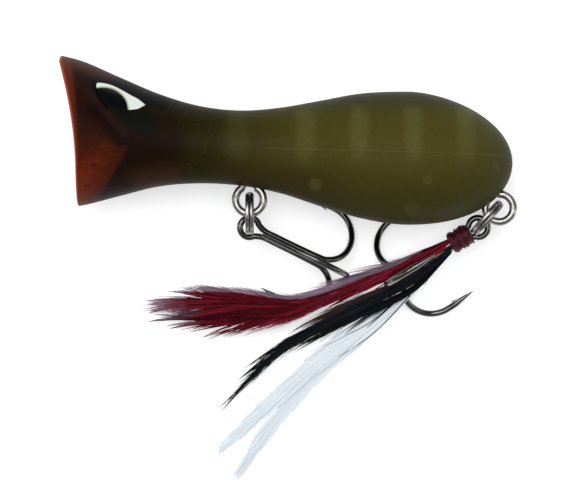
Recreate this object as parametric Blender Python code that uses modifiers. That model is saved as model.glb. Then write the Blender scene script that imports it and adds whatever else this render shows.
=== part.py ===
"""A topwater popper lure lying on its right flank, as it is laid on a bench.

The hollow plastic body is two moulded shells joined on the lure's middle plane.
They trap three wire hangers, a ballast slug and two rattle balls.  Each hanger
outside carries a split ring, and each ring a treble hook: a double with a single
brazed into its groove.  The tail treble is dressed with hackles and pearl flash
under a wrap of thread.

Body coordinates are (u, v, w) in millimetres: u back from the upper lip, v from
belly to back, w out of the left flank.  The left flank faces +Z, the back faces
+Y and the tail +X.  The floor is z = 0.
"""
import math

import bmesh
import bpy
import numpy as np
from mathutils import Euler, Vector

MM = 0.001

# Where the body's coordinates start, in the world (mm).
BODY_ORIGIN = Vector((-32.80, 16.29, 9.9))

# Body outline: (u, back line, belly line, half width).
BODY_STATIONS = (
    (0.0, 14.35, -7.75, 9.95),
    (3.0, 13.55, -7.30, 9.40),
    (8.6, 11.15, -5.90, 7.70),
    (14.4, 8.70, -4.50, 6.20),
    (20.1, 7.03, -4.08, 5.40),
    (25.8, 6.39, -4.40, 5.25),
    (31.6, 6.80, -5.50, 5.95),
    (37.3, 7.79, -7.35, 7.40),
    (43.0, 8.80, -9.05, 9.05),
    (50.0, 9.10, -10.02, 9.90),
)
TAIL_START = 50.0
TAIL_END = 64.93
TAIL_TIP_HEIGHT = -1.15
TAIL_BACK_POWER = 1.66
TAIL_BELLY_POWER = 2.25
TAIL_SIDE_POWER = 2.0

# Mouth: the upper lip leads, and the lower half of the rim stands nearly upright.
LIP_SETBACK = 2.54
LIP_UPRIGHT_BELOW = -1.6
LIP_RISE = 14.95
LIP_BLEND = 12.0
LIP_THICKNESS = 0.95
CUP_APEX = (9.97, 0.95)

# Inside: three chambers parted by bulkheads.
WALL = 1.5
CHAMBERS = ((13.8, 36.2), (37.6, 48.6), (50.0, 60.4))
HALF_GAP = 0.15

# Formed wire.
HANGER_WIRE = 1.1
HANGER_EYE = 2.0
HANGER_INNER_EYE = 1.6
HANGER_WAIST = 0.72
WIRE_CLEARANCE = 0.3
POST_RADIUS = 0.78
LINE_TIE = ((7.4, 1.15), (17.3, 1.15))
BELLY_HANGER = ((27.19, -6.43), (27.19, -0.35))
TAIL_HANGER = ((63.04, -7.59), (59.45, -2.85))

# Split rings, two turns of one strand.
RING_RADIUS = 2.77
RING_STRAND = 0.57
RING_TURN_OFFSET = 0.31

# Treble hooks: a runs back from the eye's centre, r out from the shank's axis.
HOOK_WIRE = 0.8
HOOK_EYE = 1.6
BEND_CENTRE = (10.8, 4.55)
BEND_RADIUS = 4.0
POINT_TIP = (6.0, 8.25)
SHANK_OFFSET = 0.5
BRAZED_OFFSET = 0.66
HOOK_TILT = math.radians(10.0)

# How the two hooks lie in plan: hanger loop to ring centre, ring centre to treble
# eye, and the shank's heading.
BELLY_LIE = (Vector((0.0, -1.91)), Vector((0.0, -2.05)), math.radians(-26.0))
TAIL_LIE = (Vector((-1.68, -1.40)), Vector((-1.25, -1.40)), math.radians(180.0 + 31.5))

# Thread wrap on the tail treble: (distance from the eye, radius).
WRAP_BORE = 1.17
WRAP_PROFILE = ((2.0, 1.40), (2.4, 1.52), (3.9, 1.50), (4.1, 1.42), (4.4, 1.62), (5.0, 1.62), (5.2, 1.45))

# Ballast and rattle.
BALLAST_CENTRE = (43.2, -4.0)
BALLAST_LENGTH = 9.2
BALLAST_RADIUS = 2.6
BALLAST_TILT = math.radians(-12.0)
BALL_RADIUS = 2.0
BALLS = (("rattle_ball_low", (53.0, -1.0, -5.6)), ("rattle_ball_high", (53.6, 3.3, -3.6)))

# Eye inlay: outline in (u, v), a drop with its point towards the tail.
EYE_CENTRE = (8.45, 8.2)
EYE_OUTLINE = (
    (5.20, 10.30), (6.40, 10.20), (7.70, 9.83), (9.00, 9.20), (10.40, 8.42), (11.60, 7.75),
    (12.35, 7.15), (11.60, 6.50), (10.20, 6.25), (8.70, 6.30), (7.30, 6.75), (6.30, 7.90), (5.50, 9.30),
)
EYE_PROUD = 0.12
EYE_DEPTH = 0.5
EYE_CLEARANCE = 0.3

# Dressing: spine points (x, y, z, width) in world millimetres from tie to tip.
DRESSING_THICKNESS = 0.4
DRESSING = {
    "red_hackle_upper": (
        "hackle_red", ((22.3, 3.2, 7.15, 0.6), (19.4, 2.6, 6.15, 1.0), (15.9, 1.15, 5.65, 1.3),
                       (8.6, -1.55, 5.2, 2.2), (1.6, -4.4, 4.8, 2.6), (-5.6, -4.6, 4.4, 3.4),
                       (-12.8, -4.2, 3.9, 3.6), (-17.6, -4.5, 3.4, 2.8), (-20.2, -4.8, 3.2, 0.8))),
    "red_hackle_lower": (
        "hackle_red", ((21.7, 4.15, 5.75, 0.6), (19.2, 2.7, 5.15, 0.9), (16.2, 0.7, 5.05, 1.2),
                       (8.8, -3.2, 4.5, 2.1), (1.6, -6.3, 4.1, 2.6), (-5.6, -7.6, 3.7, 3.4),
                       (-12.8, -7.8, 3.1, 3.6), (-17.6, -7.2, 2.7, 2.4), (-20.8, -6.5, 2.5, 0.8))),
    "brown_hackle": (
        "hackle_brown", ((23.2, 1.7, 5.8, 0.6), (20.8, 0.1, 5.1, 0.9), (17.8, -1.9, 4.75, 1.1),
                         (9.6, -5.6, 3.6, 1.6), (4.0, -8.2, 3.1, 1.8), (-0.6, -10.4, 2.8, 0.7))),
    "black_hackle_long": (
        "hackle_black", ((22.7, 2.5, 7.1, 0.6), (20.8, 0.3, 6.0, 0.9), (17.9, -2.1, 5.4, 1.2),
                         (10.2, -5.7, 4.3, 1.8), (3.7, -9.1, 3.8, 2.0), (-1.3, -12.0, 3.4, 1.9),
                         (-6.3, -16.7, 2.9, 1.5), (-9.6, -19.9, 2.6, 0.7))),
    "black_hackle_short": (
        "hackle_black", ((23.2, 1.6, 4.9, 0.6), (20.9, -0.1, 4.3, 0.9), (17.1, -3.4, 4.15, 1.1),
                         (9.0, -7.6, 2.9, 1.5), (3.0, -10.6, 2.3, 1.5), (-2.2, -13.2, 1.9, 0.7))),
    "pearl_flash_upper": (
        "flash_pearl", ((22.9, 2.15, 4.25, 0.6), (21.0, -0.2, 3.65, 0.8), (17.9, -3.2, 3.6, 0.9),
                        (16.0, -4.9, 3.4, 1.0), (11.5, -8.9, 2.9, 1.6), (5.2, -12.9, 2.3, 2.2),
                        (-0.6, -17.4, 1.9, 2.4), (-6.0, -22.3, 1.5, 1.8), (-10.0, -26.3, 1.2, 0.6))),
    "pearl_flash_lower": (
        "flash_pearl", ((22.55, 2.75, 3.7, 0.6), (20.7, 0.2, 3.1, 0.8), (18.1, -3.5, 3.1, 0.9),
                        (16.1, -5.2, 2.9, 1.0), (12.5, -9.6, 2.1, 1.4), (6.4, -14.2, 1.5, 2.0),
                        (1.1, -18.6, 1.1, 2.4), (-3.9, -24.2, 0.8, 2.0), (-7.1, -30.35, 0.6, 0.6))),
}

MATERIALS = {
    "plastic_olive": ((0.055, 0.050, 0.012), 0.32, 0.0),
    "eye_enamel": ((0.72, 0.80, 0.70), 0.15, 0.0),
    "wire_steel": ((0.42, 0.41, 0.37), 0.25, 1.0),
    "hook_nickel": ((0.035, 0.033, 0.028), 0.22, 1.0),
    "ballast_lead": ((0.20, 0.20, 0.21), 0.55, 1.0),
    "ball_steel": ((0.55, 0.55, 0.56), 0.15, 1.0),
    "thread_crimson": ((0.060, 0.006, 0.012), 0.45, 0.0),
    "hackle_red": ((0.100, 0.008, 0.014), 0.60, 0.0),
    "hackle_brown": ((0.120, 0.070, 0.055), 0.60, 0.0),
    "hackle_black": ((0.010, 0.012, 0.013), 0.55, 0.0),
    "flash_pearl": ((0.68, 0.74, 0.78), 0.30, 0.0),
}

RING_SEGMENTS = 28


# ---------------------------------------------------------------- scene helpers

def clear_scene():
    for item in list(bpy.data.objects):
        bpy.data.objects.remove(item, do_unlink=True)


def new_collection(name):
    collection = bpy.data.collections.new(name)
    bpy.context.scene.collection.children.link(collection)
    return collection


def make_material(name):
    colour, roughness, metallic = MATERIALS[name]
    material = bpy.data.materials.new(name)
    material.use_nodes = True
    shader = material.node_tree.nodes["Principled BSDF"]
    shader.inputs["Base Color"].default_value = (*colour, 1.0)
    shader.inputs["Roughness"].default_value = roughness
    shader.inputs["Metallic"].default_value = metallic
    material.diffuse_color = (*colour, 1.0)
    return material


def add_empty(name, collection, parent, location):
    empty = bpy.data.objects.new(name, None)
    empty.parent = parent
    empty.location = Vector(location) * MM
    empty.empty_display_size = 0.002
    collection.objects.link(empty)
    return empty


def add_object(name, data, collection, parent, material):
    item = bpy.data.objects.new(name, data)
    item.parent = parent
    if material is not None:
        data.materials.append(material)
    collection.objects.link(item)
    return item


def smooth_shade(mesh, angle=40.0):
    mesh.shade_smooth()
    mesh.set_sharp_from_angle(angle=math.radians(angle))


# ---------------------------------------------------------------- curve helpers

def through(rows, value, end_slope=None):
    """Value at a place on a smooth curve through (place, value) rows."""
    places = np.array([row[0] for row in rows])
    values = np.array([row[1] for row in rows])
    slopes = np.gradient(values, places)
    if end_slope is not None:
        slopes[-1] = end_slope
    k = int(np.clip(np.searchsorted(places, value) - 1, 0, len(rows) - 2))
    span = places[k + 1] - places[k]
    t = (value - places[k]) / span
    keep = 2 * t ** 3 - 3 * t ** 2 + 1
    leave = t ** 3 - 2 * t ** 2 + t
    arrive = t ** 3 - t ** 2
    return float(keep * values[k] + (1 - keep) * values[k + 1]
                 + span * (leave * slopes[k] + arrive * slopes[k + 1]))


def resample(points, count):
    """Evenly numbered rows on a smooth curve through rows of any width."""
    steps = np.linspace(0, len(points) - 1, count)
    columns = []
    for column in range(len(points[0])):
        rows = [(k, row[column]) for k, row in enumerate(points)]
        columns.append([through(rows, step) for step in steps])
    return list(zip(*columns))


def arc(centre, radius, start, stop, count):
    angles = np.radians(np.linspace(start, stop, count))
    return [(centre[0] + radius * math.cos(a), centre[1] + radius * math.sin(a)) for a in angles]


def wire_curve(name, points, diameter, collection, parent, material, closed=False, taper=None):
    """A round wire through points in millimetres, with filled ends."""
    curve = bpy.data.curves.new(name, "CURVE")
    curve.dimensions = "3D"
    curve.bevel_depth = diameter / 2 * MM
    curve.bevel_resolution = 2
    curve.use_fill_caps = not closed
    spline = curve.splines.new("POLY")
    spline.points.add(len(points) - 1)
    for k, point in enumerate(points):
        spline.points[k].co = (*(Vector(point) * MM), 1.0)
        spline.points[k].radius = taper[k] if taper else 1.0
    spline.use_cyclic_u = closed
    spline.use_smooth = True
    return add_object(name, curve, collection, parent, material)


def wire_mesh(name, points, diameter, collection, parent, closed=False):
    """The same wire as a mesh, so that it can cut."""
    curve_object = wire_curve(name + "_route", points, diameter, collection, parent, None, closed)
    bpy.context.view_layer.update()
    graph = bpy.context.evaluated_depsgraph_get()
    mesh = bpy.data.meshes.new_from_object(curve_object.evaluated_get(graph))
    shape = bmesh.new()
    shape.from_mesh(mesh)
    bmesh.ops.remove_doubles(shape, verts=shape.verts, dist=1e-6)
    shape.to_mesh(mesh)
    shape.free()
    bpy.data.objects.remove(curve_object, do_unlink=True)
    return add_object(name, mesh, collection, parent, None)


# ---------------------------------------------------------------- lofts

def loft(name, rings, start_cap=None, end_cap=None):
    """A closed mesh through rings of points (mm); a cap point makes a fan."""
    shape = bmesh.new()
    rows = [[shape.verts.new(Vector(point) * MM) for point in ring] for ring in rings]
    count = len(rows[0])
    for near, far in zip(rows, rows[1:]):
        for k in range(count):
            n = (k + 1) % count
            shape.faces.new((near[k], near[n], far[n], far[k]))
    for row, cap in ((rows[0], start_cap), (rows[-1], end_cap)):
        if cap is None:
            shape.faces.new(row)
            continue
        tip = shape.verts.new(Vector(cap) * MM)
        for k in range(count):
            shape.faces.new((row[k], row[(k + 1) % count], tip))
    bmesh.ops.recalc_face_normals(shape, faces=shape.faces)
    mesh = bpy.data.meshes.new(name)
    shape.to_mesh(mesh)
    shape.free()
    smooth_shade(mesh)
    return mesh


def cutter(item):
    """Mark an object as a tool that is never part of the model."""
    item.hide_render = True
    item.display_type = "WIRE"
    return item


def boolean(item, operand, operation):
    """Cut or join by the operand; a wire channel's legs may run into each other."""
    modifier = item.modifiers.new(operand.name, "BOOLEAN")
    modifier.operation = operation
    modifier.object = operand
    modifier.solver = "EXACT"
    modifier.use_self = operand.name.endswith("wire_cut")


# ---------------------------------------------------------------- body outline

def tail_factor(u, power):
    t = min((u - TAIL_START) / (TAIL_END - TAIL_START), 1.0)
    return math.sqrt(max(1.0 - t ** power, 0.0))


def back_line(u):
    if u > TAIL_START:
        height = BODY_STATIONS[-1][1] - TAIL_TIP_HEIGHT
        return TAIL_TIP_HEIGHT + height * tail_factor(u, TAIL_BACK_POWER)
    return through([(row[0], row[1]) for row in BODY_STATIONS], u, 0.0)


def belly_line(u):
    if u > TAIL_START:
        depth = BODY_STATIONS[-1][2] - TAIL_TIP_HEIGHT
        return TAIL_TIP_HEIGHT + depth * tail_factor(u, TAIL_BELLY_POWER)
    return through([(row[0], row[2]) for row in BODY_STATIONS], u, 0.0)


def half_width(u):
    if u > TAIL_START:
        return BODY_STATIONS[-1][3] * tail_factor(u, TAIL_SIDE_POWER)
    return through([(row[0], row[3]) for row in BODY_STATIONS], u, 0.0)


def lip_line(v):
    """How far the mouth's rim stands back from the upper lip at height v."""
    rise = max(v - LIP_UPRIGHT_BELOW, 0.0) / LIP_RISE
    return LIP_SETBACK * (1.0 - min(rise, 1.0) ** 1.9)


def section_point(u, angle, inset=0.0):
    """A point of the body's cross-section at u, angle 0 at the back."""
    top, bottom = back_line(u) - inset, belly_line(u) + inset
    v = (top + bottom) / 2 + (top - bottom) / 2 * math.cos(angle)
    return v, (half_width(u) - inset) * math.sin(angle)


def ring_angles(count=RING_SEGMENTS):
    return [2 * math.pi * k / count for k in range(count)]


def skin_ring(station, inset=0.0):
    """A ring of the outer skin that leans with the lip near the mouth."""
    ring = []
    lean = max(1.0 - station / LIP_BLEND, 0.0) ** 2
    for angle in ring_angles():
        u = station
        for _ in range(4):
            v, w = section_point(u, angle, inset)
            u = station + lean * lip_line(v)
        ring.append((u, v, w))
    return ring


def body_solid():
    rings = [skin_ring(0.0, 0.50), skin_ring(0.12, 0.20), skin_ring(0.45, 0.03)]
    rings += [skin_ring(u) for u in (1.4, 3.2, 5.4, 7.8, 10.4, 13.2, 16.2, 19.4, 22.6)]
    rings += [skin_ring(u) for u in (25.8, 29.0, 32.0, 34.8, 37.6, 40.4, 43.4, 46.6, TAIL_START)]
    for turn in (15, 29, 42, 54, 65, 75, 83.5):
        rings.append(skin_ring(TAIL_START + (TAIL_END - TAIL_START) * math.sin(math.radians(turn))))
    return loft("body", rings, (LIP_SETBACK, 3.0, 0.0), (TAIL_END, TAIL_TIP_HEIGHT, 0.0))


def cup_solid():
    """The hollow of the mouth: a flared cone with a rounded bottom."""
    apex_u, apex_v = CUP_APEX
    rim = skin_ring(0.0, LIP_THICKNESS)
    rings = [[(u - 2.0, v + 0.1 * (v - apex_v), 1.1 * w) for u, v, w in rim]]
    for g in (1.0, 0.9, 0.78, 0.65, 0.5, 0.35, 0.2, 0.08):
        depth = (1.0 - g ** 1.4) ** 0.8
        rings.append([(u + (apex_u - u) * depth, apex_v + (v - apex_v) * g, w * g) for u, v, w in rim])
    return loft("cup", rings, (-2.5, 3.0, 0.0), (apex_u, apex_v, 0.0))


def chamber_solid(first, last):
    rings = []
    for u in np.linspace(first, last, max(4, int((last - first) / 2.6))):
        points = [section_point(u, angle, WALL) for angle in ring_angles(20)]
        rings.append([(u, v, w) for v, w in points])
    return loft("chamber", rings)


# ---------------------------------------------------------------- eyes

def flank_height(u, v):
    """Half width of the body's skin at a place seen from the side."""
    ease = max(1.0 - u / LIP_BLEND, 0.0) ** 2
    station = u - ease * lip_line(v)
    top, bottom = back_line(station), belly_line(station)
    reach = (v - (top + bottom) / 2) / ((top - bottom) / 2)
    return half_width(station) * math.sqrt(max(1.0 - reach * reach, 0.0))


def eye_solid(side, grow, low, high):
    """A skin-hugging inlay from low to high over the flank; side is +1 or -1."""
    shape = bmesh.new()
    sheets = []
    for level in (low, high):
        rows = []
        for scale in (1.0, 0.6):
            row = []
            for u, v in EYE_OUTLINE:
                arm = Vector((u - EYE_CENTRE[0], v - EYE_CENTRE[1]))
                arm = arm * scale + arm.normalized() * grow * scale
                place = (EYE_CENTRE[0] + arm.x, EYE_CENTRE[1] + arm.y)
                row.append(shape.verts.new(Vector((*place, side * (flank_height(*place) + level))) * MM))
            rows.append(row)
        middle = Vector((*EYE_CENTRE, side * (flank_height(*EYE_CENTRE) + level)))
        sheets.append((rows, shape.verts.new(middle * MM)))
    count = len(EYE_OUTLINE)
    for rows, middle in sheets:
        for k in range(count):
            n = (k + 1) % count
            shape.faces.new((rows[0][k], rows[0][n], rows[1][n], rows[1][k]))
            shape.faces.new((rows[1][k], rows[1][n], middle))
    for k in range(count):
        n = (k + 1) % count
        shape.faces.new((sheets[0][0][0][k], sheets[0][0][0][n], sheets[1][0][0][n], sheets[1][0][0][k]))
    bmesh.ops.recalc_face_normals(shape, faces=shape.faces)
    mesh = bpy.data.meshes.new("eye")
    shape.to_mesh(mesh)
    shape.free()
    smooth_shade(mesh)
    return mesh


# ---------------------------------------------------------------- formed wire

def hanger_route(outer, inner):
    """A closed wire with an eye at each end and legs that nearly meet between."""
    start, stop = Vector(outer), Vector(inner)
    along = (stop - start).normalized()
    across = Vector((-along.y, along.x))
    length = (stop - start).length
    open_outer = math.degrees(math.asin(HANGER_WAIST / HANGER_EYE)) + 14
    open_inner = math.degrees(math.asin(HANGER_WAIST / HANGER_INNER_EYE)) + 14
    local = arc((0.0, 0.0), HANGER_EYE, open_outer, 360 - open_outer, 17)
    local += [(HANGER_EYE + 0.6, -HANGER_WAIST), (length - HANGER_INNER_EYE - 0.6, -HANGER_WAIST)]
    local += arc((length, 0.0), HANGER_INNER_EYE, 180 + open_inner, 540 - open_inner, 13)
    local += [(length - HANGER_INNER_EYE - 0.6, HANGER_WAIST), (HANGER_EYE + 0.6, HANGER_WAIST)]
    route = []
    for a, b in local:
        place = start + along * a + across * b
        route.append((place.x, place.y, 0.0))
    return route


def split_ring_route():
    """Two flat turns side by side, with one step between them; axis along X."""
    route = []
    for turn in np.linspace(25, 695, 35):
        step = min(max((turn - 335) / 50, 0.0), 1.0)
        step = step * step * (3 - 2 * step)
        angle = math.radians(turn)
        offset = RING_TURN_OFFSET * (2 * step - 1)
        route.append((offset, RING_RADIUS * math.cos(angle), RING_RADIUS * math.sin(angle)))
    return route


# ---------------------------------------------------------------- treble hooks

def hook_profile(offset):
    """Point, bend and shank of one hook as (a, r), from the tip to the eye end."""
    top = BEND_CENTRE[1] + BEND_RADIUS
    tip_a, tip_r = POINT_TIP
    point = [(tip_a, tip_r), (tip_a + 0.9, tip_r + 0.06), (tip_a + 2.0, tip_r + 0.14), (9.4, top - 0.02)]
    bend = arc(BEND_CENTRE, BEND_RADIUS, 90, -78, 12)
    shank = [(9.0, offset + 0.03), (6.5, offset), (4.0, offset)]
    return point + bend + shank


def shank_lift():
    """How far the shank's axis lies above the plane of the double's eye."""
    return SHANK_OFFSET * math.cos(math.radians(60))


def radial(profile, roll):
    turn = math.radians(roll)
    return [(a, r * math.sin(turn), r * math.cos(turn) + shank_lift()) for a, r in profile]


def double_route():
    """One wire: point, bend and shank, round the eye, and back to the other point."""
    side = SHANK_OFFSET * math.sin(math.radians(120))
    left = radial(hook_profile(SHANK_OFFSET), 120)
    right = radial(hook_profile(SHANK_OFFSET), -120)
    neck = [(2.35, side + 0.02)] + arc((0.0, 0.0), HOOK_EYE, 38, 322, 13) + [(2.35, -side - 0.02)]
    eye = [(a, b, 0.0) for a, b in neck]
    return left + eye + right[::-1]


def single_route():
    return radial(hook_profile(BRAZED_OFFSET) + [(1.9, BRAZED_OFFSET)], 0)


def tip_taper(count, both):
    taper = [1.0] * count
    for k, value in enumerate((0.16, 0.62, 0.95)):
        taper[k] = value
        if both:
            taper[-1 - k] = value
    return taper


def eye_height():
    """Height of a treble's eye when its two lower bends touch the floor."""
    turn = Euler((0.0, HOOK_TILT, 0.0))
    lowest = 0.0
    for point in double_route():
        place = Vector(point)
        place.rotate(turn)
        lowest = min(lowest, place.z)
    return HOOK_WIRE / 2 - lowest


def ring_height(to_eye):
    """Height of a split ring's centre when its strand passes through the eye."""
    return eye_height() + math.sqrt(RING_RADIUS ** 2 - to_eye.length_squared)


# ---------------------------------------------------------------- dressing

def blade(rows):
    """A thin leaf along a spine: a flat lens section, lying level."""
    places = resample(rows, 2 * len(rows) - 1)
    rings = []
    for k, (x, y, z, width) in enumerate(places):
        before = places[max(k - 1, 0)]
        after = places[min(k + 1, len(places) - 1)]
        run = Vector((after[0] - before[0], after[1] - before[1], 0.0)).normalized()
        across = Vector((-run.y, run.x, 0.0))
        middle = Vector((x, y, z))
        ring = []
        for side, lift in ((1, 0), (0.5, 0.5), (-0.5, 0.5), (-1, 0), (-0.5, -0.5), (0.5, -0.5)):
            ring.append(middle + across * (side * width / 2) + Vector((0, 0, lift * DRESSING_THICKNESS)))
        rings.append(ring)
    return rings


# ---------------------------------------------------------------- assembly

def add_body(parts, tools, frame, skins):
    """Both shells with their cups, chambers, wire channels and posts."""
    left = add_object("body_shell_left", body_solid(), parts, frame, skins["plastic_olive"])
    right = add_object("body_shell_right", left.data.copy(), parts, frame, None)
    cuts = [cutter(add_object("cup_cut", cup_solid(), tools, frame, None))]
    for k, (first, last) in enumerate(CHAMBERS):
        cuts.append(cutter(add_object(f"chamber_cut_{k + 1}", chamber_solid(first, last), tools, frame, None)))
    for name, (outer, inner) in hangers().items():
        channel = wire_mesh(name + "_cut", hanger_route(outer, inner),
                            HANGER_WIRE + 2 * WIRE_CLEARANCE, tools, frame, closed=True)
        cuts.append(cutter(channel))
    for shell, side in ((left, 1), (right, -1)):
        boolean(shell, half_space(side, tools, frame), "DIFFERENCE")
        for cut in cuts:
            boolean(shell, cut, "DIFFERENCE")
        recess = eye_solid(side, EYE_CLEARANCE, -EYE_DEPTH - EYE_CLEARANCE, 1.5)
        boolean(shell, cutter(add_object(f"eye_cut_{side}", recess, tools, frame, None)), "DIFFERENCE")
    for name, (_, inner) in hangers().items():
        boolean(right, post(name + "_post", inner, tools, frame), "UNION")


def hangers():
    return {"line_tie_wire": LINE_TIE, "belly_hanger_wire": BELLY_HANGER, "tail_hanger_wire": TAIL_HANGER}


def half_space(side, tools, frame):
    """A block that takes away all beyond the parting plane."""
    depth = 30.0
    bpy.ops.mesh.primitive_cube_add(size=1.0)
    block = bpy.context.active_object
    block.name = f"half_cut_{side}"
    block.parent = frame
    block.location = Vector((32.0, 2.0, side * (HALF_GAP - depth / 2))) * MM
    block.scale = Vector((90.0, 60.0, depth)) * MM
    move_to(block, tools)
    return cutter(block)


def post(name, centre, tools, frame):
    """A peg on the right shell that stands through a hanger's inner eye."""
    u, v = centre
    station_top, station_bottom = back_line(u), belly_line(u)
    reach = (v - (station_top + station_bottom) / 2) / ((station_top - station_bottom) / 2)
    foot = -half_width(u) * math.sqrt(1.0 - reach * reach) + 0.7
    head = 0.95
    bpy.ops.mesh.primitive_cylinder_add(vertices=14, radius=POST_RADIUS * MM, depth=(head - foot) * MM)
    peg = bpy.context.active_object
    peg.name = name
    peg.parent = frame
    peg.location = Vector((u, v, (head + foot) / 2)) * MM
    move_to(peg, tools)
    return cutter(peg)


def move_to(item, collection):
    for other in list(item.users_collection):
        other.objects.unlink(item)
    collection.objects.link(item)


def add_eyes(parts, frame, skins):
    for name, side in (("eye_left", 1), ("eye_right", -1)):
        add_object(name, eye_solid(side, 0.0, -EYE_DEPTH, EYE_PROUD), parts, frame, skins["eye_enamel"])


def add_hangers(parts, frame, skins):
    for name, (outer, inner) in hangers().items():
        wire_curve(name, hanger_route(outer, inner), HANGER_WIRE, parts, frame, skins["wire_steel"], closed=True)


def add_inner_pieces(parts, frame, skins):
    bpy.ops.mesh.primitive_cylinder_add(vertices=20, radius=BALLAST_RADIUS * MM, depth=BALLAST_LENGTH * MM)
    slug = bpy.context.active_object
    slug.name = "ballast_weight"
    slug.parent = frame
    slug.rotation_euler = (0.0, math.pi / 2, BALLAST_TILT)
    slug.location = Vector((*BALLAST_CENTRE, 0.0)) * MM
    slug.data.materials.append(skins["ballast_lead"])
    bevel = slug.modifiers.new("edges", "BEVEL")
    bevel.width = 0.4 * MM
    bevel.segments = 1
    smooth_shade(slug.data)
    move_to(slug, parts)
    for name, centre in BALLS:
        bpy.ops.mesh.primitive_uv_sphere_add(segments=14, ring_count=10, radius=BALL_RADIUS * MM)
        ball = bpy.context.active_object
        ball.name = name
        ball.parent = frame
        ball.location = Vector(centre) * MM
        ball.data.materials.append(skins["ball_steel"])
        ball.data.shade_smooth()
        move_to(ball, parts)


def add_tackle(side, parts, skins, hanger, lie):
    """A split ring on a hanger's loop, and a treble on the ring."""
    to_ring, to_eye, heading = lie
    loop = BODY_ORIGIN + Vector((*hanger[0], 0.0))
    height = ring_height(to_eye)
    swing = add_empty(side + "_ring_pivot", parts, None, loop)
    flap = add_empty(side + "_treble_pivot", parts, swing, (*to_ring, height - loop.z))
    ring = wire_curve(side + "_split_ring", split_ring_route(), RING_STRAND, parts, flap, skins["wire_steel"])
    ring.rotation_euler = (0.0, 0.0, math.atan2(-to_eye.y, -to_eye.x) - math.pi / 2)
    arm = Vector((*to_eye, eye_height() - height))
    for name, route, both in (("double", double_route(), True), ("single", single_route(), False)):
        taper = tip_taper(len(route), both)
        hook = wire_curve(f"{side}_treble_{name}", route, HOOK_WIRE, parts, flap, skins["hook_nickel"],
                          taper=taper)
        hook.location = arm * MM
        hook.rotation_euler = (0.0, HOOK_TILT, heading)
    return flap, arm


def add_wrap(parts, flap, arm, skins):
    """The thread as a turned sleeve round the tail treble's shank."""
    first, last = WRAP_PROFILE[0][0], WRAP_PROFILE[-1][0]
    outline = [(radius, 0.0, -a) for a, radius in WRAP_PROFILE]
    outline += [(WRAP_BORE, 0.0, -last), (WRAP_BORE, 0.0, -first)]
    shape = bmesh.new()
    ring = [shape.verts.new(Vector(point) * MM) for point in outline]
    for k, vertex in enumerate(ring):
        shape.edges.new((vertex, ring[(k + 1) % len(ring)]))
    mesh = bpy.data.meshes.new("thread_wrap")
    shape.to_mesh(mesh)
    shape.free()
    wrap = add_object("thread_wrap", mesh, parts, flap, skins["thread_crimson"])
    turn = wrap.modifiers.new("turn", "SCREW")
    turn.steps = 20
    turn.render_steps = 20
    turn.use_merge_vertices = True
    turn.merge_threshold = 0.00001
    turn.use_smooth_shade = True
    wrap.location = (arm + Vector((0.0, 0.0, shank_lift()))) * MM
    wrap.rotation_euler = (0.0, HOOK_TILT - math.pi / 2, TAIL_LIE[2])


def add_dressing(parts, flap, skins):
    bpy.context.view_layer.update()
    origin = flap.matrix_world.translation / MM
    for name, (skin, rows) in DRESSING.items():
        local = [[point - origin for point in ring] for ring in blade(rows)]
        add_object(name, loft(name, local), parts, flap, skins[skin])


def build():
    clear_scene()
    parts = new_collection("topwater_popper")
    tools = new_collection("cutters")
    skins = {name: make_material(name) for name in MATERIALS}
    frame = add_empty("body_frame", parts, None, BODY_ORIGIN)
    add_body(parts, tools, frame, skins)
    add_eyes(parts, frame, skins)
    add_hangers(parts, frame, skins)
    add_inner_pieces(parts, frame, skins)
    add_tackle("belly", parts, skins, BELLY_HANGER, BELLY_LIE)
    flap, arm = add_tackle("tail", parts, skins, TAIL_HANGER, TAIL_LIE)
    add_wrap(parts, flap, arm, skins)
    add_dressing(parts, flap, skins)


build()
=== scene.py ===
"""Visual model of a topwater popper lure lying on its right flank on a pale bench."""
import math

import bmesh
import bpy
import numpy as np
from mathutils import Euler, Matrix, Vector


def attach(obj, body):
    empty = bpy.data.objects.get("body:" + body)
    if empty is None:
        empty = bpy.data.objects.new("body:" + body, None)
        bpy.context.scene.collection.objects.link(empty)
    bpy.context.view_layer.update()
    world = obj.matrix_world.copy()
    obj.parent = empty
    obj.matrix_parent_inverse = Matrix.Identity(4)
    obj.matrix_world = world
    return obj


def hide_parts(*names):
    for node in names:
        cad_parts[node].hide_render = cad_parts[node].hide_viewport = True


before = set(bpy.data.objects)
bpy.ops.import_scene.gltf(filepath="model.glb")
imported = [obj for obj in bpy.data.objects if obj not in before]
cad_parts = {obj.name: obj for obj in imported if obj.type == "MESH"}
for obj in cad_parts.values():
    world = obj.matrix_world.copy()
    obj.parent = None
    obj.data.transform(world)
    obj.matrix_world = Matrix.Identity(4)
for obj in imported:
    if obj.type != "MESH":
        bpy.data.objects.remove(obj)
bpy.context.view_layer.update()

MM = 0.001

# The body's frame in the world (mm): u back from the upper lip, v up the back, w out of the left flank.
BODY_ORIGIN = np.array((-32.80, 16.29, 9.9))

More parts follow.
